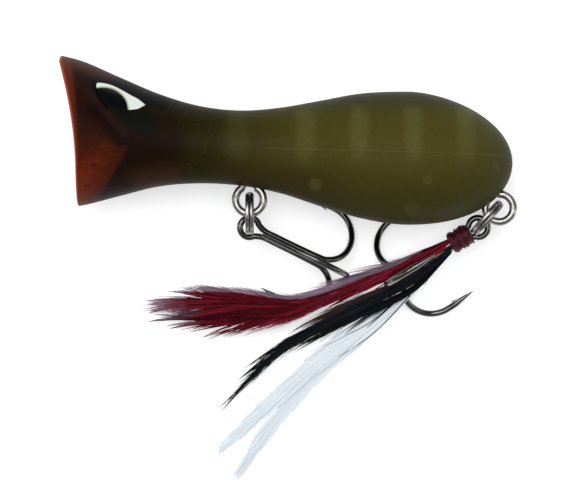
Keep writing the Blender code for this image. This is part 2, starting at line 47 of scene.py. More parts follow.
# Body outline: (u, back line, belly line, half width).
BODY_STATIONS = np.array((
    (0.0, 14.35, -7.75, 9.95),
    (3.0, 13.55, -7.30, 9.40),
    (8.6, 11.15, -5.90, 7.70),
    (14.4, 8.70, -4.50, 6.20),
    (20.1, 7.03, -4.08, 5.40),
    (25.8, 6.39, -4.40, 5.25),
    (31.6, 6.80, -5.50, 5.95),
    (37.3, 7.79, -7.35, 7.40),
    (43.0, 8.80, -9.05, 9.05),
    (50.0, 9.10, -10.02, 9.90),
))
TAIL_START = 50.0
TAIL_END = 64.93
TAIL_TIP_HEIGHT = -1.15
TAIL_POWERS = (1.66, 2.25, 2.0)
BODY_LENGTH = 65.0
LIP_SETBACK = 2.54
LIP_UPRIGHT_BELOW = -1.6
LIP_RISE = 14.95
LIP_BLEND = 12.0
LIP_POWER = 1.9
LIP_THICKNESS = 0.95
LIP_DROP = 8.0
LIP_HEIGHT = 22.0
CUP_APEX = (9.97, 0.95)
CUP_POWERS = (1.4, 0.8)
CUP_BOSS = (0.45, 1.9)
# The skin's first uv value is the distance back from the lip; inside the cup it runs below zero.
CUP_RIM_MARK = -0.6
CUP_MARK_DEPTH = 8.5
SHELL_THICKNESS = 0.35
SEAM_GAP = 0.02
SEAM_GROOVE = 0.07
FLANK_LINE_HEIGHT = 1.63
FLANK_LINE_SLOPE = -0.0277
FLANK_LINE_RISE = 0.05
# Where the paint's marks lie: bars (start, full, fading, end as shares of the body's length; strength),
# round marks over the ribs and the ballast (place, radius, strength), and moulding specks (u, v).
BARS = (
    (0.360, 0.380, 0.404, 0.425, 0.30),
    (0.515, 0.532, 0.552, 0.570, 0.72),
    (0.634, 0.648, 0.670, 0.685, 0.90),
    (0.752, 0.767, 0.787, 0.802, 0.95),
    (0.866, 0.880, 0.900, 0.918, 1.0),
)
RIB_MARKS = (
    ((36.6, -4.3), 1.1, 0.45),
    ((52.5, -3.7), 0.9, 0.45),
    ((62.4, -1.6), 0.8, 0.35),
    ((50.4, -7.9), 1.3, 0.25),
)
MOULDING_SPECKS = ((4.9, -1.7), (3.9, -4.6), (12.6, -1.2))
# Strokes of paint on the head: (start, stop, drift, outer and inner edge, strength, colour).
NECK_STROKES = (
    ((10.0, 1.2), (14.6, 1.6), 1.0, 5.2, 1.0, 1.0, (33, 21, 14)),
    ((7.0, -5.6), (15.5, -3.6), 1.0, 3.4, 0.4, 0.9, (58, 35, 21)),
)
CUP_STROKES = (
    ((5.0, 6.3), (9.0, 1.7), 0.0, 1.2, 0.2, 0.75, (27, 16, 15)),
    ((4.2, 9.0), (9.6, 3.0), 0.0, 1.0, 0.2, 0.45, (48, 31, 27)),
)
EYE_STROKES = (
    ((6.8, 10.5), (14.6, 7.6), 0.7, 1.75, 0.75, 0.97, (18, 18, 17)),
    ((5.2, 9.9), (6.9, 7.0), 0.5, 0.8, 0.25, 0.9, (24, 20, 20)),
    ((1.5, 14.0), (7.0, 12.2), 0.0, 2.2, 0.6, 0.8, (74, 38, 29)),
    ((9.4, 6.1), (12.6, 4.6), 1.2, 2.4, 0.8, 0.92, (24, 25, 23)),
)

# The eye: its outline on the flank from the front round over the back corner, and its dome.
EYE_CENTRE = (8.45, 8.2)
EYE_OUTLINE = (
    (5.55, 10.22), (6.50, 10.16), (7.70, 9.83), (9.00, 9.20), (10.40, 8.42), (11.60, 7.75),
    (12.50, 7.02), (11.60, 6.46), (10.20, 6.25), (8.70, 6.30), (7.30, 6.75), (6.30, 7.90), (5.50, 9.30),
)
EYE_STRAIGHTS = (0, 5, 6)
EYE_PROFILE = (
    (0.0, 0.20), (0.18, 0.20), (0.36, 0.19), (0.54, 0.18), (0.70, 0.165), (0.83, 0.15), (0.92, 0.13),
    (0.965, 0.10), (0.99, 0.05), (1.0, -0.02), (1.0, -0.25), (0.7, -0.25), (0.35, -0.25), (0.0, -0.25),
)
PUPIL_CENTRE = (6.5, 6.2)
PUPIL_REACH = (3.45, 3.25)

# Formed wire, split rings and trebles, as in the CAD.
HANGER_WIRE = 1.1
HANGER_EYE = 2.0
HANGER_INNER_EYE = 1.6
HANGER_WAIST = 0.72
HANGER_SHOULDER = 0.6
HANGER_EASE = 14
HANGERS = {
    "line_tie_wire": ((7.4, 1.15), (17.3, 1.15)),
    "belly_hanger_wire": ((27.19, -6.43), (27.19, -0.35)),
    "tail_hanger_wire": ((63.04, -7.59), (59.45, -2.85)),
}
RING_RADIUS = 2.77
RING_STRAND = 0.57
RING_TURN_OFFSET = 0.31
RING_TURN = (25, 695)
RING_STEP = (335, 385)
RING_FULLNESS = 1.04
RING_SQUARENESS = 0.62
HOOK_WIRE = 0.8
HOOK_EYE = 1.42
BEND_CENTRE = (10.8, 4.55)
BEND_RADIUS = 4.0
POINT_TIP = (6.0, 8.25)
SHANK_OFFSET = 0.5
BRAZED_OFFSET = 0.66
HOOK_TILT = math.radians(10.0)
OPENED_GAPE = 0.5
WIRE_FULLNESS = 1.16
HOOK_LIFT = 0.04
# Wire radius at a distance from the hook's tip: a long needle point, then a swelling at the barb.
POINT_DISTANCES = (0.0, 0.35, 1.0, 2.0, 3.0, 3.5, 4.2)
POINT_RADII = (0.025, 0.085, 0.175, 0.285, 0.375, 0.415, 0.40)
# The barb: (along the shank, out from it, half width, half depth), and its section.
BARB_ROWS = (
    (8.15, 8.22, 0.02, 0.05), (8.6, 8.12, 0.16, 0.16), (9.0, 8.00, 0.17, 0.14),
    (9.4, 7.86, 0.12, 0.08), (9.75, 7.74, 0.03, 0.02),
)
BARB_SECTION = ((1, 0.7), (0.5, -0.6), (0, -1), (-0.5, -0.6), (-1, 0.7), (0, 1))
BRAZING_RADIUS = 0.60
# The thread wrap: its core (along the shank, radius), its windings (first, last, radius, pitch, phase),
# and the slanting turns of the whip finish (start, stop, radius).
WRAP_CORE = (
    (1.25, 0.95), (1.45, 1.2), (1.8, 1.33), (3.3, 1.30), (3.55, 1.22), (3.8, 1.40), (4.3, 1.38),
    (4.55, 1.12), (4.7, 0.9),
)
WRAP_WINDINGS = (
    (1.45, 3.55, 1.34, 0.225, 0.0),
    (3.5, 1.48, 1.44, 0.29, 1.0),
    (3.6, 4.5, 1.42, 0.22, 2.0),
    (4.4, 3.7, 1.54, 0.30, 0.5),
)
WHIP_TURNS = ((1.6, 3.4, 1.55), (3.3, 2.1, 1.57))
THREAD_RADIUS = 0.125
BELLY_LIE = ((0.0, -1.91), (0.0, -2.05), math.radians(-26.0))
TAIL_LIE = ((-1.68, -1.40), (-1.25, -1.40), math.radians(211.5))

# The pigment behind a displayed colour: its share under this light, less what the gloss adds.
GAIN = 0.83
GLOSS = 0.0045
DARKEST = 0.0004


def linear(red, green, blue):
    """A linear colour from 0 to 255 display values."""
    out = []
    for value in (red, green, blue):
        c = value / 255
        c = c / 12.92 if c <= 0.04045 else ((c + 0.055) / 1.055) ** 2.4
        out.append(min(max(c - GLOSS, DARKEST) * GAIN, 1.0))
    return (*out, 1.0)


# ---- materials

class Surface:
    """A Principled material and short names for the nodes that feed it."""

    def __init__(self, name, **shader):
        self.material = bpy.data.materials.new(name)
        self.material.use_nodes = True
        self.tree = self.material.node_tree
        self.shader = self.tree.nodes["Principled BSDF"]
        for key, value in shader.items():
            self.shader.inputs[key.replace("_", " ")].default_value = value

    def node(self, kind, inputs=(), **settings):
        made = self.tree.nodes.new("ShaderNode" + kind)
        for key, value in settings.items():
            setattr(made, key, value)
        for key, value in dict(inputs).items():
            self.put(made.inputs[key], value)
        return made

    def put(self, socket, value):
        if isinstance(value, bpy.types.NodeSocket):
            self.tree.links.new(value, socket)
        elif value is not None:
            socket.default_value = value

    def math(self, operation, a, b=None, clamp=False):
        made = self.node("Math", {0: a}, operation=operation, use_clamp=clamp)
        self.put(made.inputs[1], b)
        return made.outputs[0]

    def times(self, value, *factors):
        for factor in factors:
            value = self.math("MULTIPLY", value, factor)
        return value

    def plus(self, value, *others):
        for other in others:
            value = self.math("ADD", value, other)
        return value

    def vector(self, operation, a, b=None, scale=None):
        made = self.node("VectorMath", {0: a, 1: b}, operation=operation)
        if scale is not None:
            self.put(made.inputs["Scale"], scale)
        return made.outputs["Value" if operation in ("DOT_PRODUCT", "LENGTH") else "Vector"]

    def place(self, origin=(0.0, 0.0, 0.0)):
        """Millimetres from an origin in the model's own space at rest."""
        coords = self.node("TexCoord").outputs["Object"]
        scaled = self.vector("SCALE", coords, scale=1.0 / MM)
        return self.vector("SUBTRACT", scaled, tuple(float(c) for c in origin))

    def on_body(self, drift_scale, drift_detail):
        """Coordinates in the body's frame, its side view, and a slow drift about zero."""
        self.p = self.place(BODY_ORIGIN)
        self.u, self.v, _ = self.node("SeparateXYZ", {0: self.p}).outputs
        self.flat = self.vector("MULTIPLY", self.p, (1.0, 1.0, 0.0))
        self.wander = self.math("SUBTRACT", self.noise(self.p, drift_scale, drift_detail), 0.5)

    def wandering(self, value, share=1.0):
        return self.plus(value, self.times(self.wander, share))

    def uv(self, name="along"):
        return self.node("SeparateXYZ", {0: self.node("UVMap", uv_map=name).outputs[0]}).outputs

    def noise(self, vector, scale, detail=3.0, roughness=0.55, distortion=0.0):
        made = self.node("TexNoise", {"Vector": vector, "Scale": scale, "Detail": detail,
                                      "Roughness": roughness, "Distortion": distortion})
        return made.outputs["Fac"]

    def step(self, value, low, high):
        """A smooth step from 0 at low to 1 at high."""
        made = self.node("MapRange", {"Value": value, "From Min": low, "From Max": high},
                         interpolation_type="SMOOTHSTEP")
        return made.outputs["Result"]

    def mix(self, factor, a, b):
        made = self.node("Mix", {"Factor": factor, 6: a, 7: b}, data_type="RGBA")
        return made.outputs[2]

    def tint(self, colour, mask, amount, tone):
        """Lays a display colour over another where the mask is, up to an amount."""
        return self.mix(self.times(mask, amount), colour, linear(*tone))

    def ramp(self, value, stops):
        made = self.node("ValToRGB", {0: value})
        elements = made.color_ramp.elements
        while len(elements) < len(stops):
            elements.new(0.5)
        for element, (position, colour) in zip(elements, stops):
            element.position = position
            element.color = colour
        return made.outputs[0]

    def tones(self, value, rows):
        """A ramp through display colours."""
        return self.ramp(value, [(position, linear(*colour)) for position, colour in rows])

    def segment(self, start, stop):
        """Distance in the side view from a line between two places."""
        a = Vector((*start, 0.0))
        run = Vector((*stop, 0.0)) - a
        from_a = self.vector("SUBTRACT", self.flat, tuple(a))
        share = self.vector("DOT_PRODUCT", from_a, tuple(run / run.length_squared))
        share = self.math("MULTIPLY", share, 1.0, clamp=True)
        nearest = self.vector("SCALE", tuple(run), scale=share)
        return self.vector("LENGTH", self.vector("SUBTRACT", from_a, nearest))

    def side(self, start, stop):
        """Signed distance in the side view from the line through two places, positive to its left."""
        run = Vector((stop[0] - start[0], stop[1] - start[1], 0.0)).normalized()
        from_start = self.vector("SUBTRACT", self.flat, (*start, 0.0))
        return self.vector("DOT_PRODUCT", from_start, (-run.y, run.x, 0.0))

    def bump(self, height, strength, distance):
        made = self.node("Bump", {"Strength": strength, "Distance": distance, "Height": height})
        return made.outputs[0]

    def finish(self, colour, roughness=None, normal=None, alpha=None):
        looks = {"Base Color": colour, "Roughness": roughness, "Normal": normal, "Alpha": alpha}
        for key, value in looks.items():
            self.put(self.shader.inputs[key], value)
        return self.material


def flank_paint(m):
    """Olive that pales towards the tail, with painted shade that darkens the back and the belly, where the
    flank turns away from the light.
    """
    along = m.math("DIVIDE", m.wandering(m.u, 1.5), BODY_LENGTH)
    colour = m.tones(along, (
        (0.14, (33, 24, 13)), (0.24, (36, 29, 14)), (0.33, (44, 39, 17)), (0.42, (60, 55, 22)),
        (0.53, (74, 68, 28)), (0.70, (77, 72, 29)), (0.86, (80, 74, 32)), (0.95, (76, 72, 36)),
        (1.0, (62, 62, 36))))
    # Painted shade: darker towards the belly edge, where the flank turns away from the light.
    colour = m.tint(colour, m.step(m.v, 1.5, -9.5), 0.62, (46, 42, 18))
    # The front of the belly is browner.
    front = m.times(m.step(m.u, 20.0, 25.0), m.step(m.u, 44.0, 34.0))
    colour = m.tint(colour, m.times(m.step(m.v, 0.0, -4.5), front), 0.6, (54, 41, 23))
    # Painted shade: darker along the back behind the head, where the flank turns away from the light.
    upper = m.times(m.step(m.v, 4.5, 9.2), m.step(m.u, 20.0, 30.0))
    return m.tint(colour, upper, 0.8, (40, 42, 20))


def flank_marks(m, colour):
    """Pale bars, marks where inner parts show through, and the moulding's lines."""
    bars = []
    for rise, full, fall, end, level in BARS:
        bars += [(rise, (0.0, 0.0, 0.0, 1.0)), (full, (level, level, level, 1.0)),
                 (fall, (level, level, level, 1.0)), (end, (0.0, 0.0, 0.0, 1.0))]
    bars = m.ramp(m.math("DIVIDE", m.wandering(m.u, 1.2), BODY_LENGTH), bars)
    reach = m.times(m.step(m.v, -2.6, 1.8), m.step(m.v, 7.6, 5.6))
    dapple = m.plus(m.times(m.step(m.noise(m.p, 0.7, 3.0), 0.25, 0.75), 0.35), 0.62)
    colour = m.tint(colour, m.times(bars, reach, dapple), 0.85, (94, 92, 50))

    for place, radius, amount in RIB_MARKS:
        away = m.vector("LENGTH", m.vector("SUBTRACT", m.flat, (*place, 0.0)))
        colour = m.tint(colour, m.step(away, radius, radius - 0.45), amount, (90, 88, 48))

    # Flow lines of the moulding in the neck.
    ripple = m.math("ABSOLUTE", m.math("SUBTRACT", m.noise(m.flat, 0.30, 1.0, 0.5, 0.6), 0.5))
    neck = m.times(m.step(m.u, 14.0, 17.0), m.step(m.u, 30.0, 22.0))
    colour = m.tint(colour, m.times(m.step(ripple, 0.03, 0.0), neck), 0.16, (78, 68, 38))

    # Moulded line along the flank.
    height = m.plus(m.times(m.u, FLANK_LINE_SLOPE), FLANK_LINE_HEIGHT)
    line = m.step(m.math("ABSOLUTE", m.math("SUBTRACT", m.v, height)), 0.14, 0.03)
    length = m.times(m.step(m.u, 27.0, 33.0), m.step(m.u, 64.6, 62.5))
    return m.tint(colour, m.times(line, length), 0.32, (106, 102, 60))


def strokes(m, colour, rows):
    """Soft strokes of paint along lines in the side view."""
    for start, stop, drift, outer, inner, amount, tone in rows:
        away = m.wandering(m.segment(start, stop), drift)
        colour = m.tint(colour, m.step(away, outer, inner), amount, tone)
    return colour


def head_paint(m, colour):
    """Red-brown where the cup shows through, brightest low in front of the cup's outline,
    then black over, in front of and behind the eye."""
    colour = strokes(m, colour, NECK_STROKES)
    behind_cup = m.math("MAXIMUM", m.side((5.3, 7.3), (9.97, 0.9)), m.side((9.97, 0.9), (6.0, -5.5)))
    in_front = m.step(m.wandering(behind_cup, 0.6), 0.5, -0.9)
    brow = m.step(m.plus(m.u, m.times(m.v, 0.35)), 10.6, 7.4)
    colour = m.tint(colour, brow, 1.0, (36, 22, 18))
    cup_tone = m.tones(m.math("DIVIDE", m.plus(m.v, LIP_DROP), LIP_HEIGHT), (
        (0.02, (118, 46, 26)), (0.12, (114, 44, 26)), (0.24, (102, 40, 24)), (0.38, (70, 30, 18)),
        (0.50, (50, 24, 18)), (0.62, (37, 20, 17)), (0.76, (44, 24, 20)), (0.88, (66, 35, 27)),
        (1.0, (86, 42, 29))))
    colour = m.mix(in_front, colour, cup_tone)
    streaks = m.noise(m.vector("MULTIPLY", m.p, (0.6, 1.1, 0.6)), 0.8, 3.0, 0.6, 0.8)
    glow = m.times(m.step(streaks, 0.42, 0.72), in_front, m.step(m.v, 3.5, -1.5))
    colour = m.tint(colour, glow, 0.55, (122, 50, 24))
    shade = m.times(m.step(m.wandering(behind_cup), -3.0, 0.2), in_front)
    colour = m.tint(colour, shade, 0.72, (42, 21, 15))
    return strokes(m, colour, CUP_STROKES + EYE_STROKES)


def lip_paint(m, colour):
    """Orange lip with a painted highlight along the rim itself; a wide band at the top and a narrow one
    below, and painted shade deepening into the cup.
    """
    from_lip = m.uv("skin")[0]
    width = m.plus(m.times(m.step(m.v, -6.0, 13.0), 1.15), 0.35)
    rim = m.step(m.math("SUBTRACT", from_lip, width), 0.6, -0.45)
    rim_tone = m.tones(m.math("DIVIDE", m.plus(m.v, LIP_DROP), LIP_HEIGHT), (
        (0.0, (112, 48, 27)), (0.3, (100, 40, 25)), (0.6, (88, 33, 22)), (1.0, (100, 46, 30))))
    colour = m.mix(rim, colour, rim_tone)
    # Painted highlight: a pale line along the lip's rounded edge, where it catches the light.
    colour = m.tint(colour, m.step(from_lip, 0.66, 0.1), 1.0, (168, 84, 54))
    # Painted shade: the inside of the cup darkens from the rim towards its bottom.
    deep = m.mix(m.step(from_lip, -2.0, -8.5), linear(150, 58, 28), linear(92, 28, 18))
    return m.mix(m.step(from_lip, -0.05, -0.6), colour, deep)


def body_plastic():
    m = Surface("body_plastic", Specular_IOR_Level=0.06)
    m.on_body(0.45, 2.0)
    fine = m.noise(m.p, 5.5, 4.0, 0.7)
    mottle = m.noise(m.p, 1.6, 3.0, 0.6)
    colour = flank_marks(m, flank_paint(m))
    colour = lip_paint(m, head_paint(m, colour))
    for u, v in MOULDING_SPECKS:
        speck = m.segment((u, v), (u + 0.5, v + 0.12))
        colour = m.tint(colour, m.step(speck, 0.28, 0.08), 0.6, (44, 16, 16))
    grain = m.plus(m.times(mottle, 0.34), m.times(fine, 0.26), 0.70)
    colour = m.vector("SCALE", colour, scale=grain)
    roughness = m.plus(m.times(m.noise(m.p, 2.2, 3.0), 0.16), 0.44)
    height = m.plus(m.times(fine, 0.3), m.times(mottle, 0.7))
    return m.finish(colour, roughness, m.bump(height, 0.22, 0.00005))


def eye_enamel():
    """White enamel with a round black pupil, a yellow-green fringe and a black outline."""
    m = Surface("eye_enamel", Specular_IOR_Level=0.12)
    m.on_body(1.1, 3.0)
    reach = m.vector("SUBTRACT", m.flat, (*PUPIL_CENTRE, 0.0))
    reach = m.vector("MULTIPLY", reach, (1.0 / PUPIL_REACH[0], 1.0 / PUPIL_REACH[1], 0.0))
    away = m.wandering(m.vector("LENGTH", reach), 0.03)
    white = m.times(m.noise(m.p, 3.0, 3.0), 0.25)
    colour = m.mix(white, linear(246, 252, 244), linear(222, 232, 220))
    colour = m.tint(colour, m.step(away, 1.10, 1.02), 0.75, (142, 150, 70))
    colour = m.tint(colour, m.step(away, 1.02, 0.985), 1.0, (17, 19, 19))
    edge = m.wandering(m.uv()[0], 0.04)
    colour = m.tint(colour, m.step(edge, 0.955, 0.99), 1.0, (22, 22, 20))
    roughness = m.plus(m.times(m.noise(m.p, 6.0, 2.0), 0.15), 0.12)
    roughness = m.plus(roughness, m.times(m.step(edge, 0.90, 0.95), 0.6))
    return m.finish(colour, roughness, m.bump(m.noise(m.p, 2.0, 2.0), 0.15, 0.00005))


def metal(name, bright, dark, stain, rough, streak=0.35, coat=0.0):
    """Drawn wire: streaks run along it, with duller patches and pits."""
    m = Surface(name, Metallic=1.0, Coat_Weight=coat, Coat_Roughness=0.12, Coat_IOR=1.8)
    p = m.place()
    along, across, _ = m.uv()
    lines = m.node("CombineXYZ", {0: m.times(along, 0.25), 1: m.times(across, 14.0)})
    drawn = m.noise(lines.outputs[0], 1.6, 4.0, 0.65)
    patch = m.noise(p, 0.8, 4.0, 0.6)
    pits = m.noise(p, 7.0, 2.0, 0.5)
    colour = m.mix(m.step(patch, 0.35, 0.7), linear(*bright), linear(*dark))
    colour = m.tint(colour, m.step(drawn, 0.5, 0.8), streak, stain)
    roughness = m.plus(m.times(drawn, 0.12), m.times(patch, rough), 0.04)
    height = m.plus(m.times(drawn, 0.6), m.times(pits, 0.4))
    return m.finish(colour, roughness, m.bump(height, 0.18, 0.00003))


def cast_lead():
    m = Surface("cast_lead", Metallic=0.9)
    p = m.place()
    coarse = m.noise(p, 0.9, 4.0, 0.65)
    colour = m.mix(m.step(coarse, 0.3, 0.75), linear(126, 127, 132), linear(82, 83, 88))
    roughness = m.plus(m.times(coarse, 0.3), 0.38)
    return m.finish(colour, roughness, m.bump(m.noise(p, 2.5, 4.0), 0.4, 0.00008))


def thread():
    m = Surface("thread_crimson", Specular_IOR_Level=0.3)
    along, across, _ = m.uv()
    ply = m.math("SINE", m.plus(m.times(along, 9.0), m.times(across, 2 * math.pi)))
    patch = m.noise(m.place(), 1.3, 3.0)
    colour = m.mix(m.step(patch, 0.32, 0.7), linear(84, 17, 31), linear(46, 12, 20))
    colour = m.tint(colour, m.step(ply, 0.0, 1.0), 0.3, (128, 34, 52))
    roughness = m.plus(m.times(patch, 0.3), 0.28)
    return m.finish(colour, roughness, m.bump(ply, 0.35, 0.00003))


def plume(name, root, middle, fringe, contrast, clear, rough=0.55, glow=0.0):
    """Feather fibres. uv x: 0 dyed, 1 pale at the end, up to 2 in the clear film along the edge;
    uv y: each fibre's own tone."""
    m = Surface(name, Specular_IOR_Level=0.12, Emission_Color=linear(*middle), Emission_Strength=glow)
    ash, chance, _ = m.uv()
    p = m.place()
    patch = m.math("SUBTRACT", m.noise(p, 0.5, 3.0), 0.5)
    own = m.plus(chance, m.times(patch, 0.3))
    colour = m.mix(m.step(own, 0.3, 0.9), linear(*root), linear(*middle))
    colour = m.tint(colour, m.step(m.plus(ash, m.times(patch, 0.2)), 0.2, 0.95), 1.0, fringe)
    tone = m.plus(m.times(chance, contrast), 1.0 - contrast * 0.5)
    colour = m.vector("SCALE", colour, scale=tone)
    roughness = m.plus(m.times(m.noise(p, 3.0, 2.0), 0.2), rough - 0.1)
    alpha = m.math("SUBTRACT", 1.0, m.times(m.step(ash, 0.6, 1.7), clear))
    return m.finish(colour, roughness, m.bump(m.noise(p, 9.0, 2.0), 0.2, 0.00002), alpha)


# ---- mesh building

class Shape:
    """Vertices (mm), faces and one uv per vertex, gathered into one mesh."""

    def __init__(self):
        self.points, self.faces, self.uvs, self.count = [], [], [], 0

    def add(self, points, faces, uvs):
        self.faces.extend([tuple(int(i) + self.count for i in face) for face in faces])
        self.points.append(np.asarray(points, float))
        self.uvs.append(np.asarray(uvs, float))
        self.count += len(points)

    def make(self, name, material, body, replaced=(), uv_name="along", sharp=None, weld=None):
        mesh = bpy.data.meshes.new(name)
        points = np.vstack(self.points) * MM
        mesh.from_pydata(points.tolist(), [], self.faces)
        layer = mesh.uv_layers.new(name=uv_name)
        corners = np.empty(len(mesh.loops), dtype=np.int32)
        mesh.loops.foreach_get("vertex_index", corners)
        layer.data.foreach_set("uv", np.vstack(self.uvs)[corners].astype(np.float32).ravel())
        if weld:
            shape = bmesh.new()
            shape.from_mesh(mesh)
            bmesh.ops.remove_doubles(shape, verts=shape.verts, dist=weld)
            bmesh.ops.dissolve_degenerate(shape, edges=shape.edges, dist=1e-8)
            shape.to_mesh(mesh)
            shape.free()
        mesh.shade_smooth()
        if sharp is not None:
            mesh.set_sharp_from_angle(angle=math.radians(sharp))
        mesh.materials.append(material)
        piece = bpy.data.objects.new(name, mesh)
        bpy.context.scene.collection.objects.link(piece)
        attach(piece, body)
        if replaced:
            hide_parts(*replaced)
        return piece


def quads(rows, across, wrapped=True):
    """Faces between neighbouring rows of points."""
    faces = []
    for k in range(rows - 1):
        a, b = k * across, (k + 1) * across
        for j in range(across if wrapped else across - 1):
            i = (j + 1) % across
            faces.append((a + j, a + i, b + i, b + j))
    return faces


def catmull_rom(a, b, c, d, t):
    """The place at share t from b to c on a smooth curve through four places."""
    square, cube = 2 * a - 5 * b + 4 * c - d, 3 * b - a - 3 * c + d
    return 0.5 * (2 * b + (c - a) * t + square * t ** 2 + cube * t ** 3)


def smooth_path(rows, count):
    """A Catmull-Rom path through rows of numbers, resampled evenly along its length."""
    rows = np.asarray(rows, float)
    ends = np.vstack([2 * rows[0] - rows[1], rows, 2 * rows[-1] - rows[-2]])
    fine = []
    for k in range(1, len(ends) - 2):
        t = np.linspace(0, 1, 24, endpoint=False)[:, None]
        fine.append(catmull_rom(*ends[k - 1:k + 3], t))
    fine = np.vstack(fine + [rows[-1:]])
    run = running_length(fine[:, :3])
    at = np.linspace(0, run[-1], count)
    return np.column_stack([np.interp(at, run, column) for column in fine.T])


def running_length(points):
    return np.concatenate([[0], np.cumsum(np.linalg.norm(np.diff(points, axis=0), axis=1))])


def tangents(points, closed=False):
    if closed:
        run = np.roll(points, -1, axis=0) - np.roll(points, 1, axis=0)
    else:
        run = np.gradient(points, axis=0)
    return run / np.linalg.norm(run, axis=1)[:, None]


def transported(points, first, closed=False):
    """Side directions along a path that twist as little as they can; a closed path is a flat one."""
    run = tangents(points, closed)
    side = np.zeros_like(points)
    now = np.asarray(first, float)
    for k, t in enumerate(run):
        now = now - t * now.dot(t)
        now = now / np.linalg.norm(now)
        side[k] = now
    return run, side


def sweep(shape, points, radii, sides, closed=False, first=(0.0, 0.0, 1.0), square=1.0, flat=1.0, start=0.0):
    """A wire along points; radii per point; square < 1 gives a boxy section, flat scales its thickness."""
    points = np.asarray(points, float)
    radii = np.broadcast_to(np.asarray(radii, float), (len(points),))
    run, side = transported(points, first, closed)
    lift = np.cross(run, side)
    angle = np.linspace(0, 2 * math.pi, sides, endpoint=False) + math.pi / sides
    c, s = np.cos(angle), np.sin(angle)
    c, s = np.sign(c) * np.abs(c) ** square, np.sign(s) * np.abs(s) ** square
    rings = points[:, None, :] + radii[:, None, None] * (
        side[:, None, :] * c[None, :, None] + lift[:, None, :] * (s * flat)[None, :, None])
    length = start + running_length(points)
    uvs = np.stack(np.broadcast_arrays(length[:, None], (np.arange(sides) / sides)[None, :]), axis=-1)
    n = len(points)
    faces = []
    for k in range(n if closed else n - 1):
        a, b = k * sides, ((k + 1) % n) * sides
        for j in range(sides):
            i = (j + 1) % sides
            faces.append((a + j, b + j, b + i, a + i))
    if not closed:
        faces.append(tuple(range(sides)))
        faces.append(tuple(reversed(range((n - 1) * sides, n * sides))))
    shape.add(rings.reshape(-1, 3), faces, uvs.reshape(-1, 2))


# ---- body

def outline(column, u):
    """Back line (1), belly line (2) or half width (3) at stations u."""
    u = np.asarray(u, float)
    places, values = BODY_STATIONS[:, 0], BODY_STATIONS[:, column]
    slopes = np.gradient(values, places)
    slopes[-1] = 0.0
    k = np.clip(np.searchsorted(places, u) - 1, 0, len(places) - 2)
    span = places[k + 1] - places[k]
    t = (u - places[k]) / span
    keep = 2 * t ** 3 - 3 * t ** 2 + 1
    front = keep * values[k] + (1 - keep) * values[k + 1] + span * (
        (t ** 3 - 2 * t ** 2 + t) * slopes[k] + (t ** 3 - t ** 2) * slopes[k + 1])
    t = np.clip((u - TAIL_START) / (TAIL_END - TAIL_START), 0.0, 1.0)
    factor = np.sqrt(1.0 - t ** TAIL_POWERS[column - 1])
    base = TAIL_TIP_HEIGHT if column < 3 else 0.0
    return np.where(u > TAIL_START, base + (values[-1] - base) * factor, front)


def lip_line(v):
    rise = np.clip((v - LIP_UPRIGHT_BELOW) / LIP_RISE, 0.0, 1.0)
    return LIP_SETBACK * (1.0 - rise ** LIP_POWER)


def skin(station, angle, inset):
    """Places (u, v, w) on the skin that lean with the lip near the mouth."""
    station, angle, inset = np.broadcast_arrays(station, angle, inset)
    lean = np.clip(1.0 - station / LIP_BLEND, 0.0, 1.0) ** 2
    u = station.astype(float)
    for _ in range(5):
        top, bottom = outline(1, u) - inset, outline(2, u) + inset
        v = (top + bottom) / 2 + (top - bottom) / 2 * np.cos(angle)
        w = (outline(3, u) - inset) * np.sin(angle)
        u = np.minimum(station + lean * lip_line(v), TAIL_END)
    return np.stack([u, v, w], axis=-1)


def flank_line(u):
    """Height of the moulded line along the flank."""
    return FLANK_LINE_HEIGHT + FLANK_LINE_SLOPE * u


def row_angles(u):
    """Angles from back to belly at one station, closer at the seams and at the flank line."""
    top, bottom, half = outline(1, u), outline(2, u), outline(3, u)
    tall = max(float(top - bottom) / 2, 0.05)
    middle = math.acos(float(np.clip((flank_line(u) - (top + bottom) / 2) / tall, -0.35, 0.35)))
    edge = min(0.12 / max(float(half), 0.4), 0.2)
    ridge = min(0.17 / tall, 0.12)
    upper = np.concatenate([[0.0], np.linspace(edge, middle - ridge, 42)])
    across = middle + ridge * np.array((-0.55, -0.2, 0.2, 0.55))
    lower = np.concatenate([np.linspace(middle + ridge, math.pi - edge, 42), [math.pi]])
    return np.concatenate([upper, across, lower])


def ridge_heights(u, count):
    heights = np.zeros(count)
    fade = np.clip((u - 27.0) / 5.0, 0, 1) * np.clip((64.3 - u) / 2.5, 0, 1)
    middle = count // 2
    heights[middle - 2:middle + 2] = FLANK_LINE_RISE * fade * np.array((0.5, 1.0, 1.0, 0.5))
    return heights


def cup_rows(rim):
    """Rows from the cup's bottom, with its small boss, out to the rim's inner edge, and their lip marks."""
    rows, marks = [], []
    apex_u, apex_v = CUP_APEX
    boss_height, boss_radius = CUP_BOSS
    shares = np.concatenate([np.linspace(0.0, 0.12, 7), np.linspace(0.16, 0.92, 26), [0.95, 0.975, 0.99]])
    for share in shares:
        depth = (1.0 - share ** CUP_POWERS[0]) ** CUP_POWERS[1]
        u = rim[:, 0] + (apex_u - rim[:, 0]) * depth
        v = apex_v + (rim[:, 1] - apex_v) * share
        w = rim[:, 2] * share
        away = np.hypot(v - apex_v, w)
        u = u + boss_height * np.clip(1 - (away / boss_radius) ** 2, 0, 1) ** 2
        rows.append(np.column_stack([u, v, w]))
        marks.append(CUP_RIM_MARK - CUP_MARK_DEPTH * depth)
    return rows, marks


